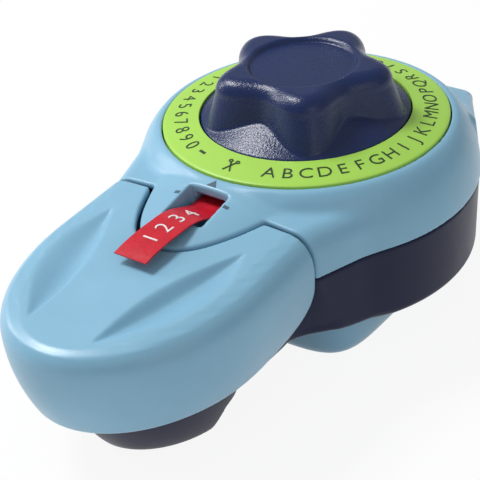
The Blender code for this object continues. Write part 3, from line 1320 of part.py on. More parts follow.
def make_feed_pawl():
    """A hooked finger on the rocker's horn, with its nose under a ratchet tooth."""
    y, z = pawl_pivot()
    nose_y = ROLLER_Y - RATCHET_RADIUS - SEAT_GAP
    nose_z = ROLLER_Z
    outline = arc(y, z, LUG_RADIUS / 2, 150, 330, 6)
    outline += [(nose_y - SEAT_GAP, z + LUG_RADIUS), (nose_y, nose_z), (nose_y - LUG_RADIUS / 3, nose_z),
                (y - LUG_RADIUS / 3, z + LUG_RADIUS)]
    low = PAWL_X + RATCHET_THICKNESS + SEAT_GAP
    pawl = plate("feed_pawl", outline, low, low + RATCHET_THICKNESS / 2, "X")
    return keep(pawl, STEEL)


# Press works: anvil, hammer and blade

def make_anvil_bracket():
    front, rear = DIAL_Y - ANVIL_FRONT_REACH, DIAL_Y - ANVIL_REAR_REACH
    top = ANVIL_Z + ANVIL_THICKNESS
    foot = DECK_Z + DECK_THICKNESS + SEAT_GAP
    bridge = block("anvil_bracket", (-ANVIL_HALF_WIDTH, front, ANVIL_Z), (ANVIL_HALF_WIDTH, rear, top))
    for side in (-1, 1):
        near, far = side * (ANVIL_HALF_WIDTH - ANVIL_LEG), side * ANVIL_HALF_WIDTH
        leg = block("anvil_leg_%d" % side, (min(near, far), front, foot),
                    (max(near, far), front + ANVIL_LEG_DEPTH, ANVIL_Z + ANVIL_THICKNESS / 2))
        join(bridge, leg)
    return keep(bridge, STEEL)


def make_hammer():
    y = DIAL_Y - EMBOSS_REACH
    return keep(block("hammer", (-HAMMER_HALF_WIDTH, y - HAMMER_HALF_DEPTH, HAMMER_BOTTOM_Z),
                      (HAMMER_HALF_WIDTH, y + HAMMER_HALF_DEPTH, HAMMER_TOP_Z)), STEEL)


def make_hammer_pad():
    y = DIAL_Y - EMBOSS_REACH
    return keep(block("hammer_pad", (-HAMMER_HALF_WIDTH, y - HAMMER_HALF_DEPTH, HAMMER_TOP_Z + SEAT_GAP / 2),
                      (HAMMER_HALF_WIDTH, y + HAMMER_HALF_DEPTH, PAD_TOP_Z)), RUBBER)


def make_cutter_blade():
    """A plate with a slanting edge, a stem below it and a foot that the rocker can lift."""
    y = DIAL_Y - BLADE_REACH
    half, thick = BLADE_HALF_WIDTH, BLADE_THICKNESS / 2
    rows = []
    for side in (-thick, thick):
        rows.append([(-half, y + side, BLADE_BOTTOM_Z), (-half, y + side, BLADE_TOP_Z),
                     (half, y + side, BLADE_TOP_Z - BLADE_SLANT), (half, y + side, BLADE_BOTTOM_Z)])
    blade = skin("cutter_blade", rows)
    stem_top, foot_top = BLADE_BOTTOM_Z + BLADE_FOOT, BLADE_FOOT_Z + BLADE_FOOT
    join(blade, turned("blade_foot", [(0.0, stem_top), (BLADE_STEM_RADIUS, stem_top),
                                      (BLADE_STEM_RADIUS, foot_top), (BLADE_FOOT_RADIUS, foot_top),
                                      (BLADE_FOOT_RADIUS, BLADE_FOOT_Z), (0.0, BLADE_FOOT_Z)],
                       SMALL_SIDES, 0.0, y))
    return keep(blade, STEEL)


# Springs

def make_lever_spring():
    y = DIAL_Y - LEVER_SPRING_REACH
    roof = lever_top(LEVER_SPRING_RADIUS, y - LEVER_SPRING_RADIUS) - LEVER_WALL
    return keep(coil("lever_return_spring", LEVER_SPRING_RADIUS, LEVER_SPRING_WIRE, LEVER_SPRING_TURNS,
                     TOWER_Z + SEAT_GAP, roof - 2 * SEAT_GAP, 0.0, y), STEEL)


def make_blade_spring():
    return keep(coil("cutter_spring", BLADE_SPRING_RADIUS, BLADE_SPRING_WIRE, BLADE_SPRING_TURNS,
                     BLADE_FOOT_Z + BLADE_FOOT + SEAT_GAP, DECK_Z - SEAT_GAP, 0.0,
                     DIAL_Y - BLADE_REACH), STEEL)


def make_detent_spring():
    """A leaf on the deck whose bent nose lies against the crown of the disc."""
    low, high = DISC_Z - CROWN_DEPTH + SEAT_GAP, DISC_Z - 2 * SEAT_GAP
    reach = CROWN_RADIUS + SEAT_GAP
    thick = DETENT_THICKNESS
    back, end = reach + 2 * thick, DIAL_Y + DETENT_LENGTH
    inner_line = [(back, end), (back, DIAL_Y + 2 * thick), (reach, DIAL_Y), (back, DIAL_Y - 2 * thick)]
    outer_line = [(x + thick, y) for x, y in reversed(inner_line)]
    leaf = plate("detent_spring", inner_line + outer_line, low, high)
    join(leaf, block("detent_foot", (back, end - 4 * thick, DECK_Z + DECK_THICKNESS + SEAT_GAP),
                     (back + 4 * thick, end, high)))
    return keep(leaf, STEEL)


# Door under the reel, its hinge pin, the lever's pivot pin and the screws

def bowl(name, inset, bottom):
    """The door's form: a rounded rectangle in plan whose sides curve in to a flat bottom."""
    rows = []
    rim_z = LOBE_FLOOR_Z - SEAT_GAP
    for i in range(DOOR_ROWS):
        depth = math.cos(math.radians(90) * i / DOOR_ROWS) ** (2 / DOOR_POWER)
        round_in = DOOR_ROUND * (1 - max(1 - depth ** DOOR_POWER, 0.0) ** (1 / DOOR_POWER))
        rows.append([(x, y, rim_z - (rim_z - bottom) * depth) for x, y in door_outline(inset + round_in)])
    rows.append([(x, y, LOBE_FLOOR_Z + ARCH_RISE + inset) for x, y in door_outline(inset)])
    return skin(name, rows)


def make_tape_door():
    rim_z = LOBE_FLOOR_Z - SEAT_GAP
    door = bowl("tape_door", 0.0, SKID_HEIGHT)
    back_y = DIAL_Y + BODY_RADIUS
    space = [(back_y, -OVERRUN), (back_y, rim_z), (DIAL_Y - ARCH_START_REACH, rim_z)]
    space += [(y, z) for y, z in arch_line(-SEAT_GAP) if y > DIAL_Y - ARCH_END_REACH]
    space.append((space[-1][0], -OVERRUN))
    common(door, plate("door_space", space, -2 * DOOR_HALF_WIDTH, 2 * DOOR_HALF_WIDTH, "X"))
    cut(door, bowl("door_hollow", DOOR_WALL, SKID_HEIGHT + DOOR_WALL))
    middle_y = DIAL_Y - (DOOR_FRONT_REACH - DOOR_REAR_REACH) / 2
    for x in (-SKID_X, SKID_X):
        join(door, block("skid", (x - SKID_WIDTH / 2, middle_y - SKID_HALF_LENGTH, 0.0),
                         (x + SKID_WIDTH / 2, middle_y + SKID_HALF_LENGTH, SKID_HEIGHT + DOOR_WALL / 2)))
    half, radius = HINGE_HALF_LENGTH, HINGE_BARREL_RADIUS
    barrel = rod("hinge_barrel", radius, -half, half, HINGE_Y, HINGE_Z)
    web = block("hinge_web", (-half, HINGE_Y - radius - DOOR_WALL / 2, HINGE_Z - radius / 2),
                (half, HINGE_Y, rim_z - SEAT_GAP))
    front = DIAL_Y - DOOR_FRONT_REACH
    near = front + DOOR_OPENING_INSET + 2 * RUNNING_GAP
    far = near + LATCH_THICKNESS
    tongue = block("latch_tongue", (-LATCH_WIDTH / 2, near, rim_z - DOOR_WALL),
                   (LATCH_WIDTH / 2, far, rim_z + LATCH_HEIGHT))
    shelf = block("latch_shelf", (-LATCH_WIDTH / 2, front + DOOR_WALL / 2, rim_z - DOOR_WALL),
                  (LATCH_WIDTH / 2, far, rim_z - DOOR_WALL / 2))
    join(door, barrel, web, tongue, shelf)
    cut(door, rod("barrel_bore", HINGE_PIN_RADIUS + SEAT_GAP / 2, -HINGE_HALF_LENGTH - OVERRUN,
                  HINGE_HALF_LENGTH + OVERRUN, HINGE_Y, HINGE_Z, SMALL_SIDES))
    return keep(door, LIGHT_BLUE)


def make_door_pin():
    end = HINGE_HALF_LENGTH + RUNNING_GAP + HINGE_EAR
    return keep(rod("door_hinge_pin", HINGE_PIN_RADIUS, -end, end, HINGE_Y, HINGE_Z, SMALL_SIDES), STEEL)


def make_pivot_pin():
    end = EAR_X + 2 * EAR_THICKNESS + RUNNING_GAP
    return keep(rod("lever_pivot_pin", PIVOT_PIN_RADIUS, -end, end, LEVER_PIVOT_Y, LEVER_PIVOT_Z), STEEL)


def make_screws():
    screws = []
    low = LOBE_FLOOR_Z + SCREW_SINK
    for index, (x, y) in enumerate(screw_places()):
        head_z = low + SCREW_HEAD - SEAT_GAP
        profile = [(0.0, SCREW_TOP_Z), (SCREW_RADIUS, SCREW_TOP_Z), (SCREW_RADIUS, head_z),
                   (SCREW_HEAD_RADIUS, head_z), (SCREW_HEAD_RADIUS, low), (0.0, low)]
        screws.append(keep(turned("screw_%d" % (index + 1), profile, SMALL_SIDES, x, y), STEEL))
    return screws


def main():
    make_top_cover()
    make_lower_housing()
    make_frame_plate()
    make_anvil_bracket()
    make_tape_web()
    make_label_strip()
    make_detent_spring()
    make_lever_spring()
    make_blade_spring()
    make_door_pin()
    make_pivot_pin()
    make_screws()
    make_roller_axle("feed_axle", ROLLER_Y)
    make_roller_axle("pinch_axle", pinch_y())
    carry(axis_at("dial_axis", 0.0, DIAL_Y, DIAL_Z), make_knob(), make_character_ring(),
          make_character_disc(), make_dial_axle(), make_axle_clip())
    carry(axis_at("lever_axis", 0.0, LEVER_PIVOT_Y, LEVER_PIVOT_Z), make_press_lever(), make_rocker_arm())
    hammer_axis = axis_at("hammer_axis", 0.0, DIAL_Y - EMBOSS_REACH, HAMMER_BOTTOM_Z)
    carry(hammer_axis, make_hammer(), make_hammer_pad())
    carry(axis_at("cutter_axis", 0.0, DIAL_Y - BLADE_REACH, BLADE_FOOT_Z), make_cutter_blade())
    carry(axis_at("feed_axis", 0.0, ROLLER_Y, ROLLER_Z), make_feed_roller(), make_ratchet_wheel())
    carry(axis_at("pinch_axis", 0.0, pinch_y(), ROLLER_Z), make_pinch_roller())
    carry(axis_at("reel_axis", 0.0, REEL_Y, REEL_Z), make_tape_spool(), make_tape_roll())
    carry(axis_at("door_axis", 0.0, HINGE_Y, HINGE_Z), make_tape_door())
    y, z = pawl_pivot()
    carry(axis_at("pawl_axis", 0.0, y, z), make_feed_pawl())


main()
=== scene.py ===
import json
import math

import bmesh
import bpy
import numpy as np
from mathutils import Matrix, Vector


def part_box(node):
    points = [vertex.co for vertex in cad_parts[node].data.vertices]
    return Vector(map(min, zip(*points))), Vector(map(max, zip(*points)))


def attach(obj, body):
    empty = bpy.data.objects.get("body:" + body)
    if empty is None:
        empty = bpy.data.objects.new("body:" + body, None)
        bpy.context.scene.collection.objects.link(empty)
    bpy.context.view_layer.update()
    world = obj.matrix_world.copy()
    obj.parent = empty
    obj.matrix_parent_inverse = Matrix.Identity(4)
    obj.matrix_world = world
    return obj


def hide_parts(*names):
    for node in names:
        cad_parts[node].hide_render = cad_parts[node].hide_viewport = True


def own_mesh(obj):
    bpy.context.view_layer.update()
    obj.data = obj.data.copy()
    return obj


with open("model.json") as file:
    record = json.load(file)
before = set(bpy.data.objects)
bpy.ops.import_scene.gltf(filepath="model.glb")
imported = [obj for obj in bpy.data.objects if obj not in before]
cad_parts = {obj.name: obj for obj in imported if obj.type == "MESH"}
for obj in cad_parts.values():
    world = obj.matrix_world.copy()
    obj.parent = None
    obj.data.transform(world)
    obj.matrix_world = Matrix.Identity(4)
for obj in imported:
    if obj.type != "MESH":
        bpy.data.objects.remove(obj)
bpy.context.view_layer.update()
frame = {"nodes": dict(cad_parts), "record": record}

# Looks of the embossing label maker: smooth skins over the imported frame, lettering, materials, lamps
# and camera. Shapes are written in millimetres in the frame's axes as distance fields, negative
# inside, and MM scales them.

MM = 0.001

# Sizes that the fine skins share with the frame, in millimetres
DIAL_Y, DIAL_Z = 26.0, 46.0
NOSE_REACH = 99.5
BODY_RADIUS, FOOT_RADIUS = 42.6, 41.6
PARTING_Z, HOUSING_TOP_Z, LOBE_FLOOR_Z = 30.3, 30.0, 10.4
SEAM_Y = -14.0
SEAM_GAP = 1.0
DOME_CENTRE, DOME_HEIGHT, LIP_Z, LIP_RADIUS = 33.0, 16.5, 45.6, 36.6
COVER_WALL, HOUSING_WALL, LEVER_WALL, DOOR_WALL = 1.8, 2.2, 2.0, 1.8
MOUTH_RADIUS = 35.5
NECK_HALF, NECK_FLARE, NECK_LENGTH = 29.2, 8.0, 23.0
NECK_CORNER, NECK_SIDE_Z, NECK_TOP_Z = 6.6, 33.0, 42.0
TAIL_ROOT_Y, TAIL_BACK_Y, TAIL_ROOT_HALF, TAIL_HALF = 52.0, 73.5, 32.85, 20.0
TAIL_TOP_Z, TAIL_FALL = 41.0, 5.5
ISLAND_HALF, ISLAND_REACH, ISLAND_NOSE, ISLAND_UNDER_Z = 15.9, 18.7, 0.43, 35.5
CROWN_RADIUS, CROWN_Y, CROWN_Z, CROWN_SLOPE = 43.5, -13.0, 44.9, 0.20
WINDOW_HALF, WINDOW_FRONT_Y, WINDOW_BACK_Y, WINDOW_FLOOR_Z = 5.65, -24.0, -13.0, 37.2
TAPE_Z, TAPE_HALF, TAPE_THICKNESS = 40.2, 4.5, 0.3
LEVER_HALF, LEVER_SIDE_Z, LEVER_SKIRT_Z = 29.8, 32.5, 16.0
RING_OUTER, RING_INNER, RING_RISE, RING_THICKNESS = 35.2, 26.1, 1.4, 1.5
KNOB_TOP_Z, KNOB_LOBES, KNOB_TURN = 60.2, 5, math.radians(18)
SCREW_CIRCLE, SCREW_ANGLES = 36.6, (80, 150)
PIVOT_Y, PIVOT_Z, PIVOT_HOLE, EAR_RADIUS = -16.0, 26.0, 1.8, 3.6
HINGE_Y, HINGE_Z, HINGE_RADIUS, HINGE_HOLE = 49.6, 8.4, 1.6, 0.95
POST_Y = -46.0


# Distance fields on a grid

def axes(low, high, cell):
    """Grid lines along x, y and z, shaped so that fields spread over them."""
    lines = [a + cell * np.arange(int((b - a) / cell) + 2, dtype=np.float32) for a, b in zip(low, high)]
    return lines[0][:, None, None], lines[1][None, :, None], lines[2][None, None, :]


def blend_join(a, b, radius):
    """Two forms as one, with a concave fillet where they meet."""
    corner = np.hypot(np.maximum(radius - a, 0), np.maximum(radius - b, 0))
    return np.maximum(radius, np.minimum(a, b)) - corner


def blend_common(a, b, radius):
    """What two forms share, with its new edges rounded."""
    corner = np.hypot(np.maximum(radius + a, 0), np.maximum(radius + b, 0))
    return np.minimum(-radius, np.maximum(a, b)) + corner


def blend_cut(a, b, radius):
    """The first form without the second, with its new edges rounded."""
    return blend_common(a, -b, radius)


def even(field, cell):
    """Divides a field by its slope, so that it measures distance near the surface."""
    steps = np.gradient(field.astype(np.float32), cell)
    return field / np.maximum(np.sqrt(sum(step * step for step in steps)), 0.15)


def slab(t, low, high):
    return np.maximum(low - t, t - high)


def oval(u, v, power):
    """1 on an oval's outline, where u and v are shares of its half axes. More power squares it."""
    return (u ** power + v ** power) ** (1 / power)


def outline_field(u, v, outline):
    """Distance in a plane to a closed outline."""
    nearest = np.full(np.broadcast(u, v).shape, 1e9, np.float32)
    inside = np.zeros(nearest.shape, bool)
    for (au, av), (bu, bv) in zip(outline, outline[1:] + outline[:1]):
        du, dv = bu - au, bv - av
        share = np.clip(((u - au) * du + (v - av) * dv) / max(du * du + dv * dv, 1e-9), 0, 1)
        nearest = np.minimum(nearest, (u - au - share * du) ** 2 + (v - av - share * dv) ** 2)
        if dv:
            inside ^= ((v < av) != (v < bv)) & (u < au + (v - av) * du / dv)
    return np.where(inside, -1, 1) * np.sqrt(nearest)


# Smooth skin of a field

CORNERS = [(i, j, k) for i in (0, 1) for j in (0, 1) for k in (0, 1)]
NEWTON_STEPS = 3


def read_at(stack, points):
    """Values of several fields at points between the grid lines."""
    base = np.clip(np.floor(points).astype(int), 0, np.array(stack.shape[1:]) - 2)
    part = points - base
    total = 0
    for corner in CORNERS:
        weight = np.prod([part[:, a] if corner[a] else 1 - part[:, a] for a in range(3)], axis=0)
        place = base + corner
        total = total + weight * stack[:, place[:, 0], place[:, 1], place[:, 2]]
    return total


def skin_points(field, inside):
    """One point in each grid cell that the surface passes through, and the cells' numbers."""
    nx, ny, nz = field.shape
    count = sum(inside[i:nx - 1 + i, j:ny - 1 + j, k:nz - 1 + k].astype(np.int8) for i, j, k in CORNERS)
    active = (count > 0) & (count < 8)
    cells = np.argwhere(active)
    total, hits = np.zeros((len(cells), 3)), np.zeros(len(cells))
    for near in CORNERS:
        for axis in range(3):
            if near[axis]:
                continue
            far = list(near)
            far[axis] = 1
            a, b = field[tuple((cells + near).T)], field[tuple((cells + far).T)]
            crosses = (a < 0) != (b < 0)
            point = np.tile(np.array(near, float), (len(cells), 1))
            point[:, axis] = a / np.where(crosses, a - b, 1)
            total += point * crosses[:, None]
            hits += crosses
    number = np.full(active.shape, -1)
    number[active] = np.arange(len(cells))
    return cells + total / hits[:, None], number


def skin_quads(inside, number):
    """Four cells round each grid edge that crosses the surface, facing outwards."""
    quads = []
    for axis in range(3):
        u, v = (axis + 1) % 3, (axis + 2) % 3
        low, high = [slice(1, -1)] * 3, [slice(1, -1)] * 3
        low[axis], high[axis] = slice(None, -1), slice(1, None)
        starts = inside[tuple(low)]
        change = starts != inside[tuple(high)]
        edge = np.argwhere(change) + 1
        edge[:, axis] -= 1
        ring = []
        for du, dv in ((1, 1), (0, 1), (0, 0), (1, 0)):
            cell = edge.copy()
            cell[:, u] -= du
            cell[:, v] -= dv
            ring.append(number[tuple(cell.T)])
        ring = np.stack(ring, axis=1)
        entering = ~starts[change]
        ring[entering] = ring[entering][:, ::-1]
        quads.append(ring)
    return np.concatenate(quads)


def skin_of(name, field, low, cell):
    """The closed mesh where a field is zero, drawn onto it exactly and shaded by its slope."""
    field = np.ascontiguousarray(field, np.float32)
    inside = field < 0
    points, number = skin_points(field, inside)
    stack = np.stack([field] + np.gradient(field))
    for _ in range(NEWTON_STEPS):
        value = read_at(stack, points)
        slope = value[1:]
        step = value[0] / np.maximum((slope * slope).sum(0), 1e-4) * slope
        points -= np.clip(step, -0.4, 0.4).T
    normals = read_at(stack, points)[1:].T
    normals /= np.maximum(np.linalg.norm(normals, axis=1, keepdims=True), 1e-6)
    places = (np.array(low) + points * cell) * MM
    mesh = bpy.data.meshes.new(name)
    mesh.from_pydata(places.tolist(), [], skin_quads(inside, number).tolist())
    mesh.shade_smooth()
    mesh.normals_split_custom_set_from_vertices(normals.tolist())
    return show(name, mesh)


def show(name, mesh):
    thing = bpy.data.objects.new(name, mesh)
    bpy.context.scene.collection.objects.link(thing)
    return thing


# Meshes made of rows of points

def band_faces(rows, count, closed):
    """Quads between rows that are each a loop of points. A closed band joins its last row to its first."""
    faces = []
    for i in range(rows if closed else rows - 1):
        a, b = i * count, (i + 1) % rows * count
        faces += [(a + j, b + j, b + (j + 1) % count, a + (j + 1) % count) for j in range(count)]
    return faces


def face_outwards(mesh):
    form = bmesh.new()
    form.from_mesh(mesh)
    bmesh.ops.recalc_face_normals(form, faces=form.faces)
    form.to_mesh(mesh)
    form.free()


# Materials

def new_material(name, colour, roughness, metallic=0.0):
    """A material with its shader's plain values set, and what its nodes need to be added."""
    made = bpy.data.materials.new(name)
    made.use_nodes = True
    made.diffuse_color = (*colour, 1.0)
    shader = made.node_tree.nodes["Principled BSDF"]
    shader.inputs["Base Color"].default_value = (*colour, 1.0)
    shader.inputs["Roughness"].default_value = roughness
    shader.inputs["Metallic"].default_value = metallic
    place = made.node_tree.nodes.new("ShaderNodeTexCoord")
    return made, shader, place.outputs["Object"]


def noise(made, place, size, detail, stretch=None):
    """Noise with features of about the given size in millimetres."""
    tree = made.node_tree
    node = tree.nodes.new("ShaderNodeTexNoise")
    node.inputs["Scale"].default_value = 1 / (size * MM)
    node.inputs["Detail"].default_value = detail
    if stretch:
        mapping = tree.nodes.new("ShaderNodeMapping")
        mapping.inputs["Scale"].default_value = stretch
        tree.links.new(place, mapping.inputs["Vector"])
        place = mapping.outputs["Vector"]
    tree.links.new(place, node.inputs["Vector"])
    return node.outputs["Fac"]


def ramp(made, value, low, high, start=0.3, end=0.7):
    """Turns a value into colours or greys between two ends."""
    node = made.node_tree.nodes.new("ShaderNodeValToRGB")
    for element, position, colour in zip(node.color_ramp.elements, (start, end), (low, high)):
        element.position = position
        element.color = (*colour, 1.0) if isinstance(colour, tuple) else (colour, colour, colour, 1.0)
    made.node_tree.links.new(value, node.inputs["Fac"])
    return node.outputs["Color"]


def mix_colours(made, share, first, second):
    node = made.node_tree.nodes.new("ShaderNodeMix")
    node.data_type = "RGBA"
    made.node_tree.links.new(share, node.inputs["Factor"])
    for socket, colour in ((node.inputs["A"], first), (node.inputs["B"], second)):
        if isinstance(colour, tuple):
            socket.default_value = (*colour, 1.0)
        else:
            made.node_tree.links.new(colour, socket)
    return node.outputs["Result"]


def add_bump(made, shader, height, distance, strength, before=None):
    node = made.node_tree.nodes.new("ShaderNodeBump")
    node.inputs["Distance"].default_value = distance * MM
    node.inputs["Strength"].default_value = strength
    made.node_tree.links.new(height, node.inputs["Height"])
    if before:
        made.node_tree.links.new(before, node.inputs["Normal"])
    made.node_tree.links.new(node.outputs["Normal"], shader.inputs["Normal"])
    return node.outputs["Normal"]


def scaled(colour, factor):
    return tuple(min(channel * factor, 1.0) for channel in colour)


def plastic(name, colour, roughness, grain, depth, drift, speckle=0.0, wear=0.10, shine=0.5):
    """Moulded plastic: spark-eroded grain, slow drift of colour and gloss, and paler worn edges."""
    made, shader, place = new_material(name, colour, roughness)
    shader.inputs["Specular IOR Level"].default_value = shine
    links = made.node_tree.links
    slow = noise(made, place, 26.0, 3.0)
    fine = noise(made, place, grain, 3.0)
    body = ramp(made, slow, scaled(colour, 1 - drift), scaled(colour, 1 + drift))
    speck = ramp(made, noise(made, place, grain * 0.8, 1.0), 0.0, 1.0, 0.62, 0.74)
    if speckle:
        body = mix_colours(made, ramp(made, speck, 0.0, speckle, 0.0, 1.0), body, scaled(colour, 1.9))
    edge = made.node_tree.nodes.new("ShaderNodeNewGeometry").outputs["Pointiness"]
    worn = ramp(made, edge, 0.0, wear, 0.52, 0.60)
    body = mix_colours(made, worn, body, scaled(colour, 1.25))
    links.new(body, shader.inputs["Base Color"])
    gloss = ramp(made, noise(made, place, 8.0, 3.0), roughness - 0.02, roughness + 0.03, 0.35, 0.65)
    links.new(gloss, shader.inputs["Roughness"])
    coarse = add_bump(made, shader, noise(made, place, grain * 5, 1.0), depth * 0.5, 0.25)
    add_bump(made, shader, fine, depth, 0.8, coarse)
    return made


def steel(name, colour, roughness):
    """Plated steel with fine drawn lines, dulled in patches."""
    made, shader, place = new_material(name, colour, roughness, 1.0)
    links = made.node_tree.links
    lines = noise(made, place, 0.5, 4.0, (0.05, 1.0, 1.0))
    patches = noise(made, place, 6.0, 3.0)
    links.new(ramp(made, patches, scaled(colour, 0.82), scaled(colour, 1.08)), shader.inputs["Base Color"])
    links.new(ramp(made, patches, roughness - 0.08, roughness + 0.12), shader.inputs["Roughness"])
    add_bump(made, shader, lines, 0.02, 0.6)
    return made


def vinyl(name, colour, roughness):
    """Glossy tape: even colour with faint cloudiness, rolling waves and dust-fine grain."""
    made, shader, place = new_material(name, colour, roughness)
    links = made.node_tree.links
    links.new(ramp(made, noise(made, place, 3.0, 3.0), scaled(colour, 0.90), scaled(colour, 1.08)),
              shader.inputs["Base Color"])
    links.new(ramp(made, noise(made, place, 1.2, 4.0), roughness - 0.06, roughness + 0.10),
              shader.inputs["Roughness"])
    shader.inputs["Specular IOR Level"].default_value = 0.35
    waves = add_bump(made, shader, noise(made, place, 9.0, 0.0), 0.10, 0.25)
    add_bump(made, shader, noise(made, place, 0.3, 1.0), 0.004, 0.3, waves)
    return made


LIGHT_BLUE = plastic("light_blue_plastic_look", (0.225, 0.450, 0.612), 0.33, 0.32, 0.022, 0.05, 0.10)
NAVY = plastic("navy_plastic_look", (0.014, 0.018, 0.050), 0.36, 0.34, 0.030, 0.10, 0.10, 0.35, 0.16)
KNOB_BLUE = plastic("knob_blue_plastic_look", (0.005, 0.018, 0.086), 0.26, 0.50, 0.13, 0.10, 0.45,
                    0.30, 0.42)
GREEN = plastic("green_plastic_look", (0.376, 0.665, 0.092), 0.34, 0.20, 0.008, 0.04, 0.0, 0.05)
INK = plastic("ring_ink_look", (0.022, 0.050, 0.020), 0.38, 0.12, 0.006, 0.12, 0.15, 0.0)
# Dark blue of the window marks is painted shade: the marks are the cover's own plastic, drawn darker to
# stand for the shade round their relief.
MARK_SHADE = plastic("mark_painted_shade_look", (0.050, 0.105, 0.150), 0.50, 0.12, 0.006, 0.12, 0.0, 0.0)
WHITENED = plastic("stress_whitened_look", (0.80, 0.77, 0.77), 0.52, 0.14, 0.030, 0.05, 0.0, 0.0)
RED_TAPE = vinyl("red_tape_look", (0.560, 0.012, 0.028), 0.32)
WHITE = plastic("white_acetal_look", (0.720, 0.720, 0.690), 0.45, 0.30, 0.010, 0.03)
BLACK = plastic("black_acetal_look", (0.030, 0.030, 0.032), 0.50, 0.25, 0.020, 0.10, 0.10)
STEEL = steel("bright_steel_look", (0.560, 0.570, 0.580), 0.30)
RUBBER = plastic("rubber_pad_look", (0.060, 0.060, 0.060), 0.80, 0.35, 0.040, 0.15, 0.10)
LOOK_OF_SLOT = {
    "light_blue_plastic": LIGHT_BLUE, "navy_plastic": NAVY, "knob_blue_plastic": KNOB_BLUE,
    "green_plastic": GREEN, "red_tape": RED_TAPE, "white_acetal": WHITE, "black_acetal": BLACK,
    "bright_steel": STEEL, "rubber_pad": RUBBER,
}


def dress(piece, look, body, slot, *nodes):
    """Gives a finished piece its look and body, and lets it stand for the nodes."""
    piece.data.materials.clear()
    piece.data.materials.append(look)
    if nodes:
        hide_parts(*nodes)
    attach(piece, body)


# Shapes that several skins share

def across_neck(y, inset):
    """Half width of the neck, which flares from the seam to the round body."""
    return NECK_HALF - inset + NECK_FLARE * np.clip((y - SEAM_Y) / NECK_LENGTH, 0, 1)


def arc(u, v, radius, start, end, steps):
    turns = [math.radians(start + (end - start) * i / steps) for i in range(steps + 1)]
    return [(u + radius * math.cos(turn), v + radius * math.sin(turn)) for turn in turns]


def tail_outline(inset):
    corner = 4.0
    right = [(TAIL_ROOT_HALF - inset, TAIL_ROOT_Y)]
    right += arc(TAIL_HALF - inset - corner / 2, TAIL_BACK_Y - inset - corner, corner, 15, 90, 12)
    return [(0.0, DIAL_Y)] + right + [(-x, y) for x, y in reversed(right)]


def tail_field(x, y, z, inset):
    plan = outline_field(x, y, tail_outline(inset))
    top = (z - TAIL_TOP_Z + TAIL_FALL * (y - TAIL_ROOT_Y) / (TAIL_BACK_Y - TAIL_ROOT_Y)) * 0.97
    return blend_common(plan, top, 1.8)


def island_outline():
    right = [(ISLAND_HALF, SEAM_Y + 5.0)]
    for i in range(49):
        share = math.sin(math.radians(90) * i / 48)
        right.append((ISLAND_HALF * max(1 - share, 0.0) ** ISLAND_NOSE, SEAM_Y - ISLAND_REACH * share))
    return right + [(-x, y) for x, y in reversed(right[:-1])]


def crown_height(x, y):
    """Height of the tilted, crowned surface round the window."""
    sag = CROWN_RADIUS - np.sqrt(np.maximum(CROWN_RADIUS ** 2 - x * x, 0))
    return CROWN_Z + CROWN_SLOPE * (y - CROWN_Y) - sag * math.sqrt(1 + CROWN_SLOPE ** 2)


def screw_places():
    turns = [math.radians(angle) for angle in SCREW_ANGLES]
    return [(side * SCREW_CIRCLE * math.sin(turn), DIAL_Y - SCREW_CIRCLE * math.cos(turn))
            for turn in turns for side in (1, -1)]


# Top cover: dome, neck, tail, and the island round the window

def dome_field(r, z):
    across = BODY_RADIUS - DOME_CENTRE
    u, v = np.maximum(r - DOME_CENTRE, 0), np.maximum(z - PARTING_Z, 0)
    first = np.hypot(u / across, v / DOME_HEIGHT)
    second = np.hypot(u / across ** 2, v / DOME_HEIGHT ** 2)
    return first * (first - 1) / np.maximum(second, 1e-4)


def neck_field(x, y, z, cell):
    half = across_neck(y, 0.0)
    inner = half - NECK_CORNER
    top = NECK_TOP_Z - 0.6 * np.clip((np.abs(x) - half / 2) / (inner - half / 2), 0, 1)
    u = np.maximum((np.abs(x) - inner) / NECK_CORNER, 0)
    v = np.maximum((z - NECK_SIDE_Z) / (top - NECK_SIDE_Z), 0)
    side = even((oval(u, v, 2.4) - 1) * NECK_CORNER, cell)
    return np.maximum(side, y - SEAM_Y - NECK_LENGTH - 6)


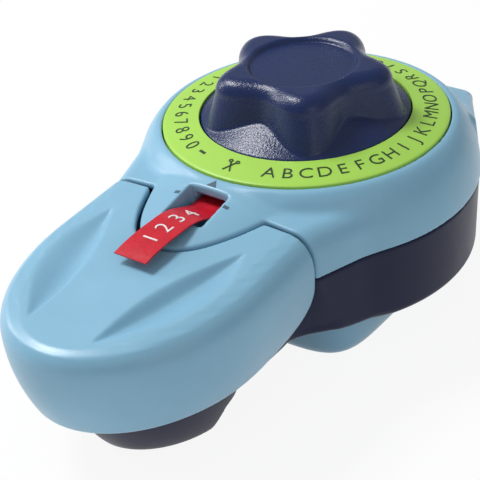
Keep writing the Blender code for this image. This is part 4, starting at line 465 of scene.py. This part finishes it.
def make_cover():
    low, high, cell = (-45.0, -37.0, 27.0), (45.0, 76.0, 48.5), 0.42
    x, y, z = axes(low, high, cell)
    r = np.hypot(x, y - DIAL_Y)
    above = (crown_height(x, y) - z) * 0.95
    collar = LIP_Z + 0.2 - 1.2 * (r - LIP_RADIUS) + 5.0 * np.clip((np.abs(x) - 14.0) / 8.0, 0, 1) ** 2
    facet = blend_common(above, (collar - z) * 0.64, 2.0)
    dome = blend_cut(dome_field(r, z), np.maximum(facet, y + 2.0), 0.5)
    neck = neck_field(x, y, z, cell)
    shelf = np.maximum(np.maximum(np.abs(x) - 21.0, slab(y, SEAM_Y, -2.0)), slab(above, 0.0, 2.8))
    form = blend_join(blend_join(dome, neck, 1.1), shelf, 0.4)
    form = blend_join(form, tail_field(x, y, z, 0.0), 1.4)
    shell = np.maximum(form, -(form + COVER_WALL))
    shell = blend_common(shell, z - LIP_Z, 0.5)
    shell = blend_common(shell, SEAM_Y - y, 0.5)
    boss_radius, boss_foot, boss_top = 2.7, 37.3, 41.6
    for sx, sy in screw_places():
        boss = np.hypot(x - sx, y - sy) - boss_radius
        shell = np.minimum(shell, np.maximum(boss, slab(z, boss_foot, boss_top)))

    plan = outline_field(x, y, island_outline())
    island = blend_common(plan, -above, 0.5)
    island = np.maximum(island, ISLAND_UNDER_Z - z)
    island = np.maximum(island, MOUTH_RADIUS + 0.3 - r)
    hollow_y, hollow_z = -11.1, 39.05
    island = np.maximum(island, -np.maximum(hollow_y - y, z - hollow_z))
    shell = blend_join(shell, island, 0.25)
    shell = blend_common(shell, MOUTH_RADIUS - r, 0.3)
    plan = blend_common(np.abs(x) - WINDOW_HALF, slab(y, WINDOW_FRONT_Y, WINDOW_BACK_Y), 0.7)
    shell = blend_cut(shell, np.maximum(plan, WINDOW_FLOOR_Z - z), 0.35)
    slot_half, slot_rise, hole_half, hole_rise = 4.9, 0.85, 4.2, 2.4
    slot = np.maximum(np.abs(x) - slot_half, np.abs(z - TAPE_Z) - slot_rise)
    hole = np.maximum(np.abs(x) - hole_half, slab(z, TAPE_Z, TAPE_Z + hole_rise))
    slot = np.maximum(np.minimum(slot, hole), slab(y, -14.0, -8.6))
    shell = blend_cut(shell, slot, 0.15)
    shell = blend_common(shell, PARTING_Z - z, 0.35)
    piece = skin_of("cover_shell", shell, low, cell)
    dress(piece, LIGHT_BLUE, "body", "light_blue_plastic", "top_cover")


# Squeeze lever: a crowned shell with two lens-shaped flutes

def lever_top(x, y):
    run = (SEAM_Y - y) / 59.5
    wide = np.abs(x) / LEVER_HALF
    base = 42.0 - 4.2 * run - 0.9 * wide ** 2
    along = (run - 0.19) / (0.86 - 0.19)
    bow = np.maximum(np.sin(math.pi * np.clip(along, 0, 1)), 0)
    chord = 0.64 - 0.34 * along
    inner, outer = chord - 0.14 * bow, chord + 0.29 * bow
    across = np.clip((wide - inner) / np.maximum(outer - inner, 1e-3), 0, 1)
    dip = np.minimum(across / 0.28, 1) * np.minimum((1 - across) / 0.66, 1)
    return base - 2.5 * bow ** 0.85 * dip * dip * (3 - 2 * dip)


def lever_plan(x, y, half, nose):
    """How far a point lies outside the lever's plan of the given half width and nose reach."""
    straight = SEAM_Y - 20.0
    forward = np.maximum(straight - y, 0) / (nose - DIAL_Y + straight)
    return oval(np.abs(x) / half, forward, 1.99) * half - half


def make_lever():
    low, high, cell = (-31.5, -75.5, 14.0), (31.5, -12.5, 44.0), 0.42
    x, y, z = axes(low, high, cell)
    top = lever_top(x, y)
    skirt = np.clip((LEVER_SIDE_Z - z) / (LEVER_SIDE_Z - LEVER_SKIRT_Z), 0, 1.2) ** 2
    rise = np.clip((z - LEVER_SIDE_Z) / (top - LEVER_SIDE_Z), 0, 1)
    shrink = 1 - (1 - rise ** 2.3) ** (1 / 2.3)
    plan = lever_plan(x, y, LEVER_HALF - 3.5 * skirt - 6.8 * shrink, NOSE_REACH - 3.7 * skirt - 3.8 * shrink)
    form = np.maximum(even(plan, cell), (z - top) * 0.97)
    shell = np.maximum(form, -(form + LEVER_WALL))
    shell = blend_common(shell, y - (SEAM_Y - SEAM_GAP), 0.5)
    shell = blend_common(shell, LEVER_SKIRT_Z - z, 0.6)
    sweep_reach, sweep_z = 40.0, 31.0
    sweep = [(SEAM_Y + 4.0, 10.0), (SEAM_Y + 4.0, sweep_z)]
    for i in range(33):
        share = i / 32
        sweep.append((SEAM_Y - SEAM_GAP - sweep_reach * share ** 2.6,
                      sweep_z - (sweep_z - LEVER_SKIRT_Z) * math.sin(math.pi / 2 * share)))
    sweep.append((SEAM_Y - SEAM_GAP - sweep_reach, 10.0))
    shell = blend_cut(shell, outline_field(y[0], z[0], sweep)[None], 0.6)
    notch = outline_field(x, y, island_outline()) - SEAM_GAP
    shell = blend_cut(shell, np.maximum(notch, 19.6 - z), 0.45)
    ear = [(-22.2, 40.0), (PIVOT_Y - EAR_RADIUS, PIVOT_Z)]
    ear += arc(PIVOT_Y, PIVOT_Z, EAR_RADIUS, 180, 360, 12) + [(PIVOT_Y, 40.0)]
    ears = np.maximum(outline_field(y[0], z[0], ear)[None], slab(np.abs(x), 18.5, 20.5))
    ears = np.maximum(ears, PIVOT_HOLE - np.hypot(y - PIVOT_Y, z - PIVOT_Z))
    shell = np.minimum(shell, ears)
    piece = skin_of("lever_shell", shell, low, cell)
    dress(piece, LIGHT_BLUE, "lever", "light_blue_plastic", "press_lever")


# Lower housing: drum, neck, throat, grip and tail over the finger arch

def grip_field(x, y, z):
    """The grip, whose plan swells from its foot to its top."""
    share = np.clip(z / 30.0, 0, 1)
    swell = np.sin(math.pi / 2 * share) ** 0.8
    half = 16.4 + 7.0 * swell
    nose = 81.5 + 9.8 * swell
    rear = 54.0 - 34.0 * np.minimum(1, share / 0.36) ** 2.2
    middle = DIAL_Y - 54.0 - (nose - 54.0) * 0.25
    ahead = np.maximum(middle - y, 0) / (middle - DIAL_Y + nose)
    behind = np.maximum(y - middle, 0) / (DIAL_Y - rear - middle)
    return oval(np.abs(x) / half, np.maximum(ahead, behind), 1.9) * half - half


def arch_outline():
    points = []
    for i in range(25):
        share = i / 24
        points.append((6.0 - 32.0 * share, LOBE_FLOOR_Z + 9.6 * share ** 1.15))
    top_y, top_z = points[-1]
    for i in range(1, 25):
        angle = math.radians(90) * i / 24
        points.append((top_y - (top_y + 35.0) * math.sin(angle) ** 1.3,
                       (top_z + 1) * max(math.cos(angle), 0.0) ** 0.8 - 1))
    return [(6.0, -6.0)] + points + [(points[-1][0], -6.0)]


def door_plan(x, y, inset):
    half, length, middle = 31.3 - inset, 28.25 - inset, 19.75
    return oval(np.abs(x) / half, np.abs(y - middle) / length, 5.8) * half - half


def make_housing():
    low, high, cell = (-44.5, -69.0, -2.0), (44.5, 75.5, 32.5), 0.5
    x, y, z = axes(low, high, cell)
    r = np.hypot(x, y - DIAL_Y)
    drum = r - FOOT_RADIUS - 0.7 * np.clip((z - 12.2) / 17.8, 0, 1)
    drum = blend_common(drum, LOBE_FLOOR_Z - z, 1.8)
    neck = np.maximum(np.abs(x) - across_neck(y, 0.3), y - 15.0) * 0.95
    soft = 0.5 + 6.5 * np.clip((HOUSING_TOP_Z - z) / 14.0, 0, 1) ** 1.5
    neck = blend_common(blend_common(neck, SEAM_Y - y, soft), 12.2 - z, 0.8)
    throat = np.maximum(blend_common(np.abs(x) - 24.4, slab(y, -28.0, -2.5), 1.0), 14.4 - z)
    tail = np.maximum(outline_field(x, y, tail_outline(0.3)), 14.0 - z)
    form = blend_join(blend_join(drum, neck, 1.1), throat, 6.0)
    form = blend_join(form, tail, 1.2)
    form = blend_join(form, even(np.maximum(grip_field(x, y, z), -z), cell), 1.0)
    arch = np.maximum(outline_field(y[0], z[0], arch_outline())[None], np.abs(x) - 20.6)
    beside = [(6.0, -6.0), (6.0, 10.4), (-10.0, 13.6), (-20.0, 14.2), (-26.0, 13.0), (-31.0, 10.5),
              (-37.0, 6.0), (-41.0, -6.0)]
    arch = blend_join(arch, outline_field(y[0], z[0], beside)[None], 0.5)
    form = blend_cut(form, arch, 0.9)
    shell = np.maximum(form, -(form + HOUSING_WALL))
    shell = blend_common(shell, z - HOUSING_TOP_Z, 0.45)
    opening = np.maximum(even(door_plan(x, y, 4.2) + 0 * z, cell), z - 20.0)
    shell = blend_cut(shell, opening, 0.4)
    post = np.hypot(x, y - POST_Y) - np.where(z < 22.0, 5.2, 2.8)
    shell = np.minimum(shell, np.maximum(post, slab(z, 1.0, 24.6)))
    boss_radius, bore, head_radius, head_top = 2.9, 1.6, 2.7, 13.4
    for sx, sy in screw_places():
        away = np.hypot(x - sx, y - sy)
        shell = np.minimum(shell, np.maximum(away - boss_radius, slab(z, 11.4, 32.2)))
        shell = np.maximum(shell, -np.maximum(away - bore, z - 40.0))
        shell = blend_cut(shell, np.maximum(away - head_radius, z - head_top), 0.25)
    from_pivot, from_hinge = np.hypot(y - PIVOT_Y, z - PIVOT_Z), np.hypot(y - HINGE_Y, z - HINGE_Z)
    for side in (-1, 1):
        lug = np.maximum(np.abs(y - PIVOT_Y) - EAR_RADIUS, slab(z, 13.4, PIVOT_Z))
        lug = np.minimum(lug, from_pivot - EAR_RADIUS)
        shell = np.minimum(shell, np.maximum(lug, slab(side * x, 20.9, 22.9)))
        ear = np.minimum(from_hinge - HINGE_RADIUS,
                         np.maximum(np.abs(y - HINGE_Y) - HINGE_RADIUS, slab(z, HINGE_Z, 11.4)))
        shell = np.minimum(shell, np.maximum(ear, slab(side * x, 8.0, 10.2)))
    shell = np.maximum(shell, PIVOT_HOLE - from_pivot)
    piece = skin_of("housing_shell", shell, low, cell)
    dress(piece, NAVY, "body", "navy_plastic", "lower_housing")


# Door: a bowl with two skids, a hinge barrel and a latch

def make_door():
    low, high, cell = (-32.5, -10.0, -1.2), (32.5, 53.0, 17.0), 0.42
    x, y, z = axes(low, high, cell)
    rim = LOBE_FLOOR_Z - 0.3

    def bowl(inset, bottom):
        depth = np.clip((rim - z) / (rim - bottom), 0, 1)
        turn_in = 11.4 * (1 - np.maximum(1 - depth ** 3.9, 0) ** (1 / 3.9))
        return np.maximum(even(door_plan(x, y, np.minimum(inset + turn_in, 20.0)), cell), bottom - z)

    space = [(75.0, -6.0), (75.0, rim), (6.0, rim)]
    space += [(py, pz - 0.3) for py, pz in arch_outline()[1:26]] + [(-26.0, -6.0)]
    form = blend_common(bowl(0.0, 0.4), outline_field(y[0], z[0], space)[None], 0.5)
    form = blend_cut(form, bowl(DOOR_WALL, 0.4 + DOOR_WALL), 0.3)
    skids = blend_common(np.abs(np.abs(x) - 13.0) - 1.2, slab(y, 8.75, 30.75), 0.6)
    form = blend_join(form, blend_common(skids, slab(z, 0.0, 1.3), 0.25), 0.2)
    away = np.hypot(y - HINGE_Y, z - HINGE_Z)
    barrel = np.minimum(away - HINGE_RADIUS,
                        np.maximum(slab(y, 47.1, HINGE_Y), slab(z, HINGE_Z - 0.8, rim - 0.3)))
    form = np.minimum(form, blend_common(barrel, np.abs(x) - 7.6, 0.3))
    form = np.maximum(form, HINGE_HOLE - away)
    latch = np.maximum(np.minimum(np.maximum(slab(y, -3.5, -2.1), slab(z, 8.3, 13.5)),
                                  np.maximum(slab(y, -7.6, -2.1), slab(z, 8.3, 9.2))), np.abs(x) - 4.0)
    form = np.minimum(form, latch)
    piece = skin_of("door_bowl", form, low, cell)
    dress(piece, LIGHT_BLUE, "door", "light_blue_plastic", "tape_door")


# Dial: lobed knob on its cone, ring and lettering

def make_knob():
    low, high, cell = (-31.0, DIAL_Y - 31.0, 41.0), (31.0, DIAL_Y + 31.0, 61.5), 0.36
    x, y, z = axes(low, high, cell)
    r, turn = np.hypot(x, y - DIAL_Y), np.arctan2(y - DIAL_Y, x)
    base_z, edge = DIAL_Z + RING_RISE, 4.2
    share = np.clip((z - base_z) / (KNOB_TOP_Z - edge - base_z), 0, 1)
    reach = 21.5 - 2.1 * share + (3.5 - 0.9 * share) * np.cos(KNOB_LOBES * (turn - KNOB_TURN))
    wall = even(r - reach, cell)
    lobes = np.maximum(blend_common(wall, z - KNOB_TOP_Z, edge), base_z - 2.2 - z)
    cone = (z - base_z + 0.3 - (25.8 - r) * 0.516) * 0.889
    cone = np.maximum(blend_common(cone, r - 25.8, 0.3), np.maximum(43.9 - z, z - 52.0))
    form = blend_join(lobes, cone, 0.35)
    form = np.minimum(form, np.maximum(r - 29.0, slab(z, 43.95, 45.15)))
    form = np.minimum(form, np.maximum(r - 6.0, slab(z, 42.2, 44.5)))
    recess = np.maximum(r - 12.6 - 0.8 * np.clip((z - 59.0) / 1.2, 0, 1), 59.0 - z)
    form = blend_cut(form, recess, 0.75)
    form = np.maximum(form, -np.maximum(r - 2.8, z - 56.3))
    piece = skin_of("knob_cap", form, low, cell)
    dress(piece, KNOB_BLUE, "dial", "knob_blue_plastic", "knob")


def ring_height(r):
    return DIAL_Z + RING_RISE * (RING_OUTER - r) / (RING_OUTER - RING_INNER)


def make_ring():
    """A coned band with eased edges."""
    ease, rim = 0.28, 0.9
    inner_z, outer_z = ring_height(RING_INNER), ring_height(RING_OUTER)
    profile = [(RING_INNER, inner_z - RING_THICKNESS), (RING_INNER, inner_z - ease)]
    profile += [(RING_INNER + ease * (1 - math.cos(t)), inner_z - ease * (1 - math.sin(t)))
                for t in (0.4, 0.8, 1.2)]
    profile += [(r, ring_height(r)) for r in (RING_INNER + rim, 30.6, RING_OUTER - rim)]
    profile += [(RING_OUTER - ease * (1 - math.cos(t)), outer_z - ease * (1 - math.sin(t)))
                for t in (1.2, 0.8, 0.4, 0.0)]
    profile.append((RING_OUTER, outer_z - RING_THICKNESS))
    steps = 240
    points = []
    for i in range(steps):
        turn = math.tau * i / steps
        points += [(r * math.cos(turn) * MM, (DIAL_Y + r * math.sin(turn)) * MM, z * MM) for r, z in profile]
    mesh = bpy.data.meshes.new("ring_band")
    mesh.from_pydata(points, [], band_faces(steps, len(profile), True))
    face_outwards(mesh)
    mesh.shade_smooth()
    mesh.set_sharp_from_angle(angle=math.radians(40))
    dress(show("ring_band", mesh), GREEN, "dial", "green_plastic", "character_ring")


def glyph_points(text, size, weight, depth):
    """Points and faces of a centred character of the built-in font, with its strokes thinned."""
    curve = bpy.data.curves.new("glyph", "FONT")
    curve.body = text
    curve.size = size
    curve.offset = weight
    curve.extrude = depth / 2
    curve.resolution_u = 5
    curve.align_x = "CENTER"
    holder = bpy.data.objects.new("glyph", curve)
    bpy.context.scene.collection.objects.link(holder)
    bpy.context.view_layer.update()
    mesh = bpy.data.meshes.new_from_object(holder.evaluated_get(bpy.context.evaluated_depsgraph_get()))
    points = np.array([v.co for v in mesh.vertices]).reshape(-1, 3)
    faces = [tuple(p.vertices) for p in mesh.polygons]
    bpy.data.objects.remove(holder)
    bpy.data.meshes.remove(mesh)
    return points, faces


def gather(name, groups):
    """One mesh from several groups of points and faces."""
    points, faces = [], []
    for group, ring in groups:
        faces += [tuple(i + len(points) for i in face) for face in ring]
        points += [tuple(p) for p in group]
    mesh = bpy.data.meshes.new(name)
    mesh.from_pydata(points, [], faces)
    return show(name, mesh)


def scissors():
    """Two blades that cross and two finger rings, in millimetres."""
    groups = []
    height, outer, inner, steps = 0.12, 0.55, 0.30, 20
    for side in (-1, 1):
        blade = [(side * 1.15, -2.10), (side * 0.85, -2.20), (side * -0.80, 0.85), (side * -0.52, 1.05)]
        points = [(u, v, 0.0) for u, v in blade] + [(u, v, height) for u, v in blade]
        faces = [(4, 5, 6, 7), (3, 2, 1, 0)] + [(i, (i + 1) % 4, 4 + (i + 1) % 4, 4 + i) for i in range(4)]
        groups.append((points, faces))
        points = []
        for i in range(steps):
            turn = math.tau * i / steps
            for radius, z in ((outer, 0.0), (outer, height), (inner, height), (inner, 0.0)):
                points.append((side * -0.95 - radius * math.cos(turn), 1.35 - radius * math.sin(turn), z))
        groups.append((points, band_faces(steps, 4, True)))
    return groups


def make_lettering():
    """Capitals, digits and signs round the ring, with their tops to its middle."""
    letter_size, middle = 5.1, 30.5
    cap_half = letter_size * 0.36
    marks = [(chr(65 + i), 18.6 + 7.93 * i) for i in range(26)]
    marks += [(sign, 226 + 8 * i) for i, sign in enumerate(".'/&")]
    marks += [(str(i + 1), 262 + 7.9 * i) for i in range(9)] + [("0", 333), ("-", 341.5)]
    groups = []

    def place(points, angle):
        turn = math.radians(angle)
        tilt = Matrix.Rotation(math.atan(RING_RISE / (RING_OUTER - RING_INNER)), 3, "X")
        spin = Matrix.Rotation(turn, 3, "Z")
        centre = Vector((middle * math.sin(turn), DIAL_Y - middle * math.cos(turn),
                         ring_height(middle) + 0.05))
        return [(centre + spin @ (tilt @ Vector(p))) * MM for p in points]

    for text, angle in marks:
        points, faces = glyph_points(text, letter_size * (1.7 if text == "-" else 1.0), -0.035, 0.10)
        groups.append((place(points - np.array([0, cap_half, 0]), angle), faces))
    for points, faces in scissors():
        groups.append((place(points, 0), faces))
    dress(gather("ring_lettering", groups), INK, "dial", "green_plastic")


# Label strip, its raised characters, and the marks beside the window

def strip_line():
    """Points along the middle of the strip, from inside the slot to its free end."""
    shares = ((-0.153, 0.0), (0.0, 0.0), (0.08, 0.03), (0.20, 0.38), (0.32, 0.78), (0.44, 0.98), (0.56, 1.0),
              (0.68, 0.99), (0.80, 0.93), (0.90, 0.83), (1.0, 0.67))
    run, rise = 28.7, 3.3
    known = [np.array((WINDOW_BACK_Y - run * a, TAPE_Z + rise * b)) for a, b in shares]
    known = [2 * known[0] - known[1]] + known + [2 * known[-1] - known[-2]]
    line = []
    for a, b, c, d in zip(known, known[1:], known[2:], known[3:]):
        for t in np.arange(0, 1, 0.125):
            line.append(0.5 * (2 * b + (c - a) * t + (2 * a - 5 * b + 4 * c - d) * t ** 2
                               + (3 * b - a - 3 * c + d) * t ** 3))
    line.append(known[-2])
    return np.array(line)


def on_strip(line, points):
    """Bends flat points (along from the free end, across, height) onto the strip."""
    path = line[::-1]
    length = np.concatenate([[0], np.cumsum(np.hypot(*np.diff(path, axis=0).T))])
    way = np.gradient(path, axis=0)
    way /= np.linalg.norm(way, axis=1, keepdims=True)
    bent = []
    for along, across, height in points:
        y, z = (np.interp(along, length, path[:, i]) for i in (0, 1))
        wy, wz = (np.interp(along, length, way[:, i]) for i in (0, 1))
        bent.append((across * MM, (y - wz * height) * MM, (z + wy * height) * MM))
    return bent


def make_strip():
    line = strip_line()
    length = float(np.hypot(*np.diff(line, axis=0).T).sum())
    half, edge = TAPE_THICKNESS / 2, 0.07
    section = [(-TAPE_HALF, -half), (-TAPE_HALF, half - edge), (-TAPE_HALF + edge, half)]
    section += [(-TAPE_HALF + edge + (2 * TAPE_HALF - 2 * edge) * i / 12, half) for i in range(1, 12)]
    section += [(TAPE_HALF - edge, half), (TAPE_HALF, half - edge), (TAPE_HALF, -half)]
    rows, count = 120, len(section)
    points = []
    for i in range(rows + 1):
        points += on_strip(line, [(length * i / rows, across, height) for across, height in section])
    faces = [tuple(range(count)), tuple(reversed(range(rows * count, (rows + 1) * count)))]
    for i in range(rows):
        for j in range(count):
            k = (j + 1) % count
            faces.append((i * count + k, i * count + j, (i + 1) * count + j, (i + 1) * count + k))
    piece = gather("label_tape", [(points, faces)])
    face_outwards(piece.data)
    piece.data.shade_smooth()
    piece.data.set_sharp_from_angle(angle=math.radians(30))
    dress(piece, RED_TAPE, "body", "red_tape", "label_strip")

    groups = []
    for i, text in enumerate("1234"):
        points, faces = glyph_points(text, 6.0, -0.08, 0.36)
        flat = [(7.2 + 4.7 * i + p[0], -(p[1] - 2.15), half + p[2]) for p in points]
        groups.append((on_strip(line, flat), faces))
    raised = gather("raised_characters", groups)
    ease = raised.modifiers.new("ease", "BEVEL")
    ease.width = 0.10 * MM
    ease.segments = 2
    ease.limit_method = "ANGLE"
    ease.angle_limit = math.radians(50)
    dress(raised, WHITENED, "body", "red_tape")


def make_marks():
    """A small raised triangle behind the window and two ticks beside it, coloured a darker blue as painted
    shade.
    """
    groups = []

    def on_crown(outline, height):
        count = len(outline)
        points = [(x * MM, y * MM, (float(crown_height(x, y)) + h) * MM) for h in (-0.15, height)
                  for x, y in outline]
        faces = [tuple(reversed(range(count))), tuple(range(count, 2 * count))]
        faces += [(i, (i + 1) % count, count + (i + 1) % count, count + i) for i in range(count)]
        return points, faces

    groups.append(on_crown([(-1.35, -12.4), (1.35, -12.4), (0.0, -10.3)], 0.16))
    for side in (-1, 1):
        tick = [(side * 6.3, -16.7), (side * 7.7, -16.7), (side * 7.7, -15.8), (side * 6.3, -15.8)]
        groups.append(on_crown(tick if side > 0 else tick[::-1], 0.06))
    dress(gather("window_marks", groups), MARK_SHADE, "body", "light_blue_plastic")


# Springs as round-wire coils

def make_spring(name, node, wire, turns):
    """A round-wire coil in the node's place, with a close-wound turn at each end."""
    low, high = (np.array(corner, float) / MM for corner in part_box(node))
    middle = (low + high) / 2
    radius = (high[0] - low[0]) / 2 - wire
    pitch, rise = 2.1 * wire, high[2] - low[2] - 2 * wire
    per_turn, sides = 28, 10
    steps = per_turn * (turns + 2)
    points = []
    for i in range(steps + 1):
        turn = i / per_turn
        climb = min(max(turn - 1, 0), turns) / turns
        ends = min(turn, 1) + max(turn - 1 - turns, 0)
        z = low[2] + wire + ends * pitch + climb * (rise - 2 * pitch)
        for j in range(sides):
            side = math.tau * j / sides
            r = radius + wire * math.cos(side)
            points.append(((middle[0] + r * math.cos(turn * math.tau)) * MM,
                           (middle[1] + r * math.sin(turn * math.tau)) * MM,
                           (z + wire * math.sin(side)) * MM))
    faces = band_faces(steps + 1, sides, False)
    faces += [tuple(range(sides)), tuple(reversed(range(steps * sides, (steps + 1) * sides)))]
    piece = gather(name, [(points, faces)])
    piece.data.shade_smooth()
    dress(piece, STEEL, "body", "bright_steel", node)
    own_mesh(piece)


# Floor, lamps and camera

def add_math(tree, operation, first, second):
    """Joins two values, kept between 0 and 1. The second may be a plain number."""
    node = tree.nodes.new("ShaderNodeMath")
    node.operation, node.use_clamp = operation, True
    tree.links.new(first, node.inputs[0])
    if isinstance(second, float):
        node.inputs[1].default_value = second
    else:
        tree.links.new(second, node.inputs[1])
    return node.outputs[0]


def make_stage():
    """A pale floor and world that the camera and reflections see as near white."""
    form = bmesh.new()
    bmesh.ops.create_grid(form, x_segments=24, y_segments=24, size=2.0)
    mesh = bpy.data.meshes.new("studio_floor")
    form.to_mesh(mesh)
    form.free()
    floor = show("studio_floor", mesh)
    made, shader, place = new_material("studio_floor_look", (0.86, 0.86, 0.86), 0.75)
    tree = made.node_tree
    tree.links.new(ramp(made, noise(made, place, 60.0, 2.0), 0.85, 0.87), shader.inputs["Base Color"])
    glow = tree.nodes.new("ShaderNodeEmission")
    glow.inputs["Color"].default_value = (1.0, 1.0, 1.0, 1.0)
    glow.inputs["Strength"].default_value = 1.0
    rays = tree.nodes.new("ShaderNodeLightPath").outputs
    seen = add_math(tree, "ADD", rays["Is Camera Ray"], rays["Is Glossy Ray"])
    seen = add_math(tree, "ADD", seen, rays["Is Transmission Ray"])
    mix = tree.nodes.new("ShaderNodeMixShader")
    tree.links.new(add_math(tree, "MULTIPLY", seen, 0.90), mix.inputs["Fac"])
    tree.links.new(shader.outputs["BSDF"], mix.inputs[1])
    tree.links.new(glow.outputs["Emission"], mix.inputs[2])
    tree.links.new(mix.outputs["Shader"], tree.nodes["Material Output"].inputs["Surface"])
    mesh.materials.append(made)

    world = bpy.data.worlds.new("studio_world")
    bpy.context.scene.world = world
    world.use_nodes = True
    tree = world.node_tree
    lit = tree.nodes["Background"]
    lit.inputs["Color"].default_value = (0.96, 0.98, 1.0, 1.0)
    lit.inputs["Strength"].default_value = 0.40
    white = tree.nodes.new("ShaderNodeBackground")
    white.inputs["Color"].default_value = (1.0, 1.0, 1.0, 1.0)
    white.inputs["Strength"].default_value = 1.0
    path = tree.nodes.new("ShaderNodeLightPath")
    mix = tree.nodes.new("ShaderNodeMixShader")
    tree.links.new(path.outputs["Is Camera Ray"], mix.inputs["Fac"])
    tree.links.new(lit.outputs["Background"], mix.inputs[1])
    tree.links.new(white.outputs["Background"], mix.inputs[2])
    tree.links.new(mix.outputs["Shader"], tree.nodes["World Output"].inputs["Surface"])


def add_lamp(name, place, aim, size, power):
    data = bpy.data.lights.new(name, "AREA")
    data.shape = "RECTANGLE"
    data.size, data.size_y = size
    data.energy = power
    lamp = bpy.data.objects.new(name, data)
    lamp.location = place
    lamp.rotation_euler = (Vector(aim) - Vector(place)).to_track_quat("-Z", "Y").to_euler()
    bpy.context.scene.collection.objects.link(lamp)


def make_lamps():
    aim = (0.0, 0.0, 0.03)
    add_lamp("key_lamp", (-0.38, -0.05, 0.62), aim, (0.20, 0.20), 3.6)
    add_lamp("fill_lamp", (0.70, -0.25, 0.36), aim, (0.50, 0.50), 0.6)
    add_lamp("edge_lamp", (-0.66, -0.10, 0.34), aim, (0.15, 0.40), 1.5)


def make_camera():
    """The photograph's view: turned, raised and rolled round a point in the object."""
    turn, raised, roll, distance = 0.68693, 0.57065, 0.093651, 0.334309
    back = Vector((math.sin(turn) * math.cos(raised), -math.cos(turn) * math.cos(raised), math.sin(raised)))
    right = Vector((math.cos(turn), math.sin(turn), 0.0))
    up = back.cross(right)
    across = math.cos(roll) * right - math.sin(roll) * up
    upward = math.sin(roll) * right + math.cos(roll) * up
    data = bpy.data.cameras.new("photo_camera")
    data.lens, data.sensor_width = 105.0, 36.0
    camera = bpy.data.objects.new("photo_camera", data)
    turned = Matrix((across, upward, back)).transposed().to_4x4()
    camera.matrix_world = Matrix.Translation(Vector((0.0003, -0.0042, 0.0260)) + back * distance) @ turned
    bpy.context.scene.collection.objects.link(camera)
    bpy.context.scene.camera = camera


# The whole scene

def dress_frame_nodes():
    """Gives each carried-over node the look of its slot."""
    for part in frame["record"]["subparts"]:
        node = frame["nodes"][part["node"]]
        look = LOOK_OF_SLOT[part["material_slot"]]
        if node.data.materials:
            for index in range(len(node.data.materials)):
                node.data.materials[index] = look
        else:
            node.data.materials.append(look)


def main():
    make_camera()
    dress_frame_nodes()
    make_cover()
    make_lever()
    make_housing()
    make_door()
    make_knob()
    make_ring()
    make_lettering()
    make_strip()
    make_marks()
    make_spring("lever_coil", "lever_return_spring", 0.5, 6)
    make_spring("cutter_coil", "cutter_spring", 0.2, 2)
    make_stage()
    make_lamps()
    bpy.context.scene.view_settings.view_transform = "Standard"


main()
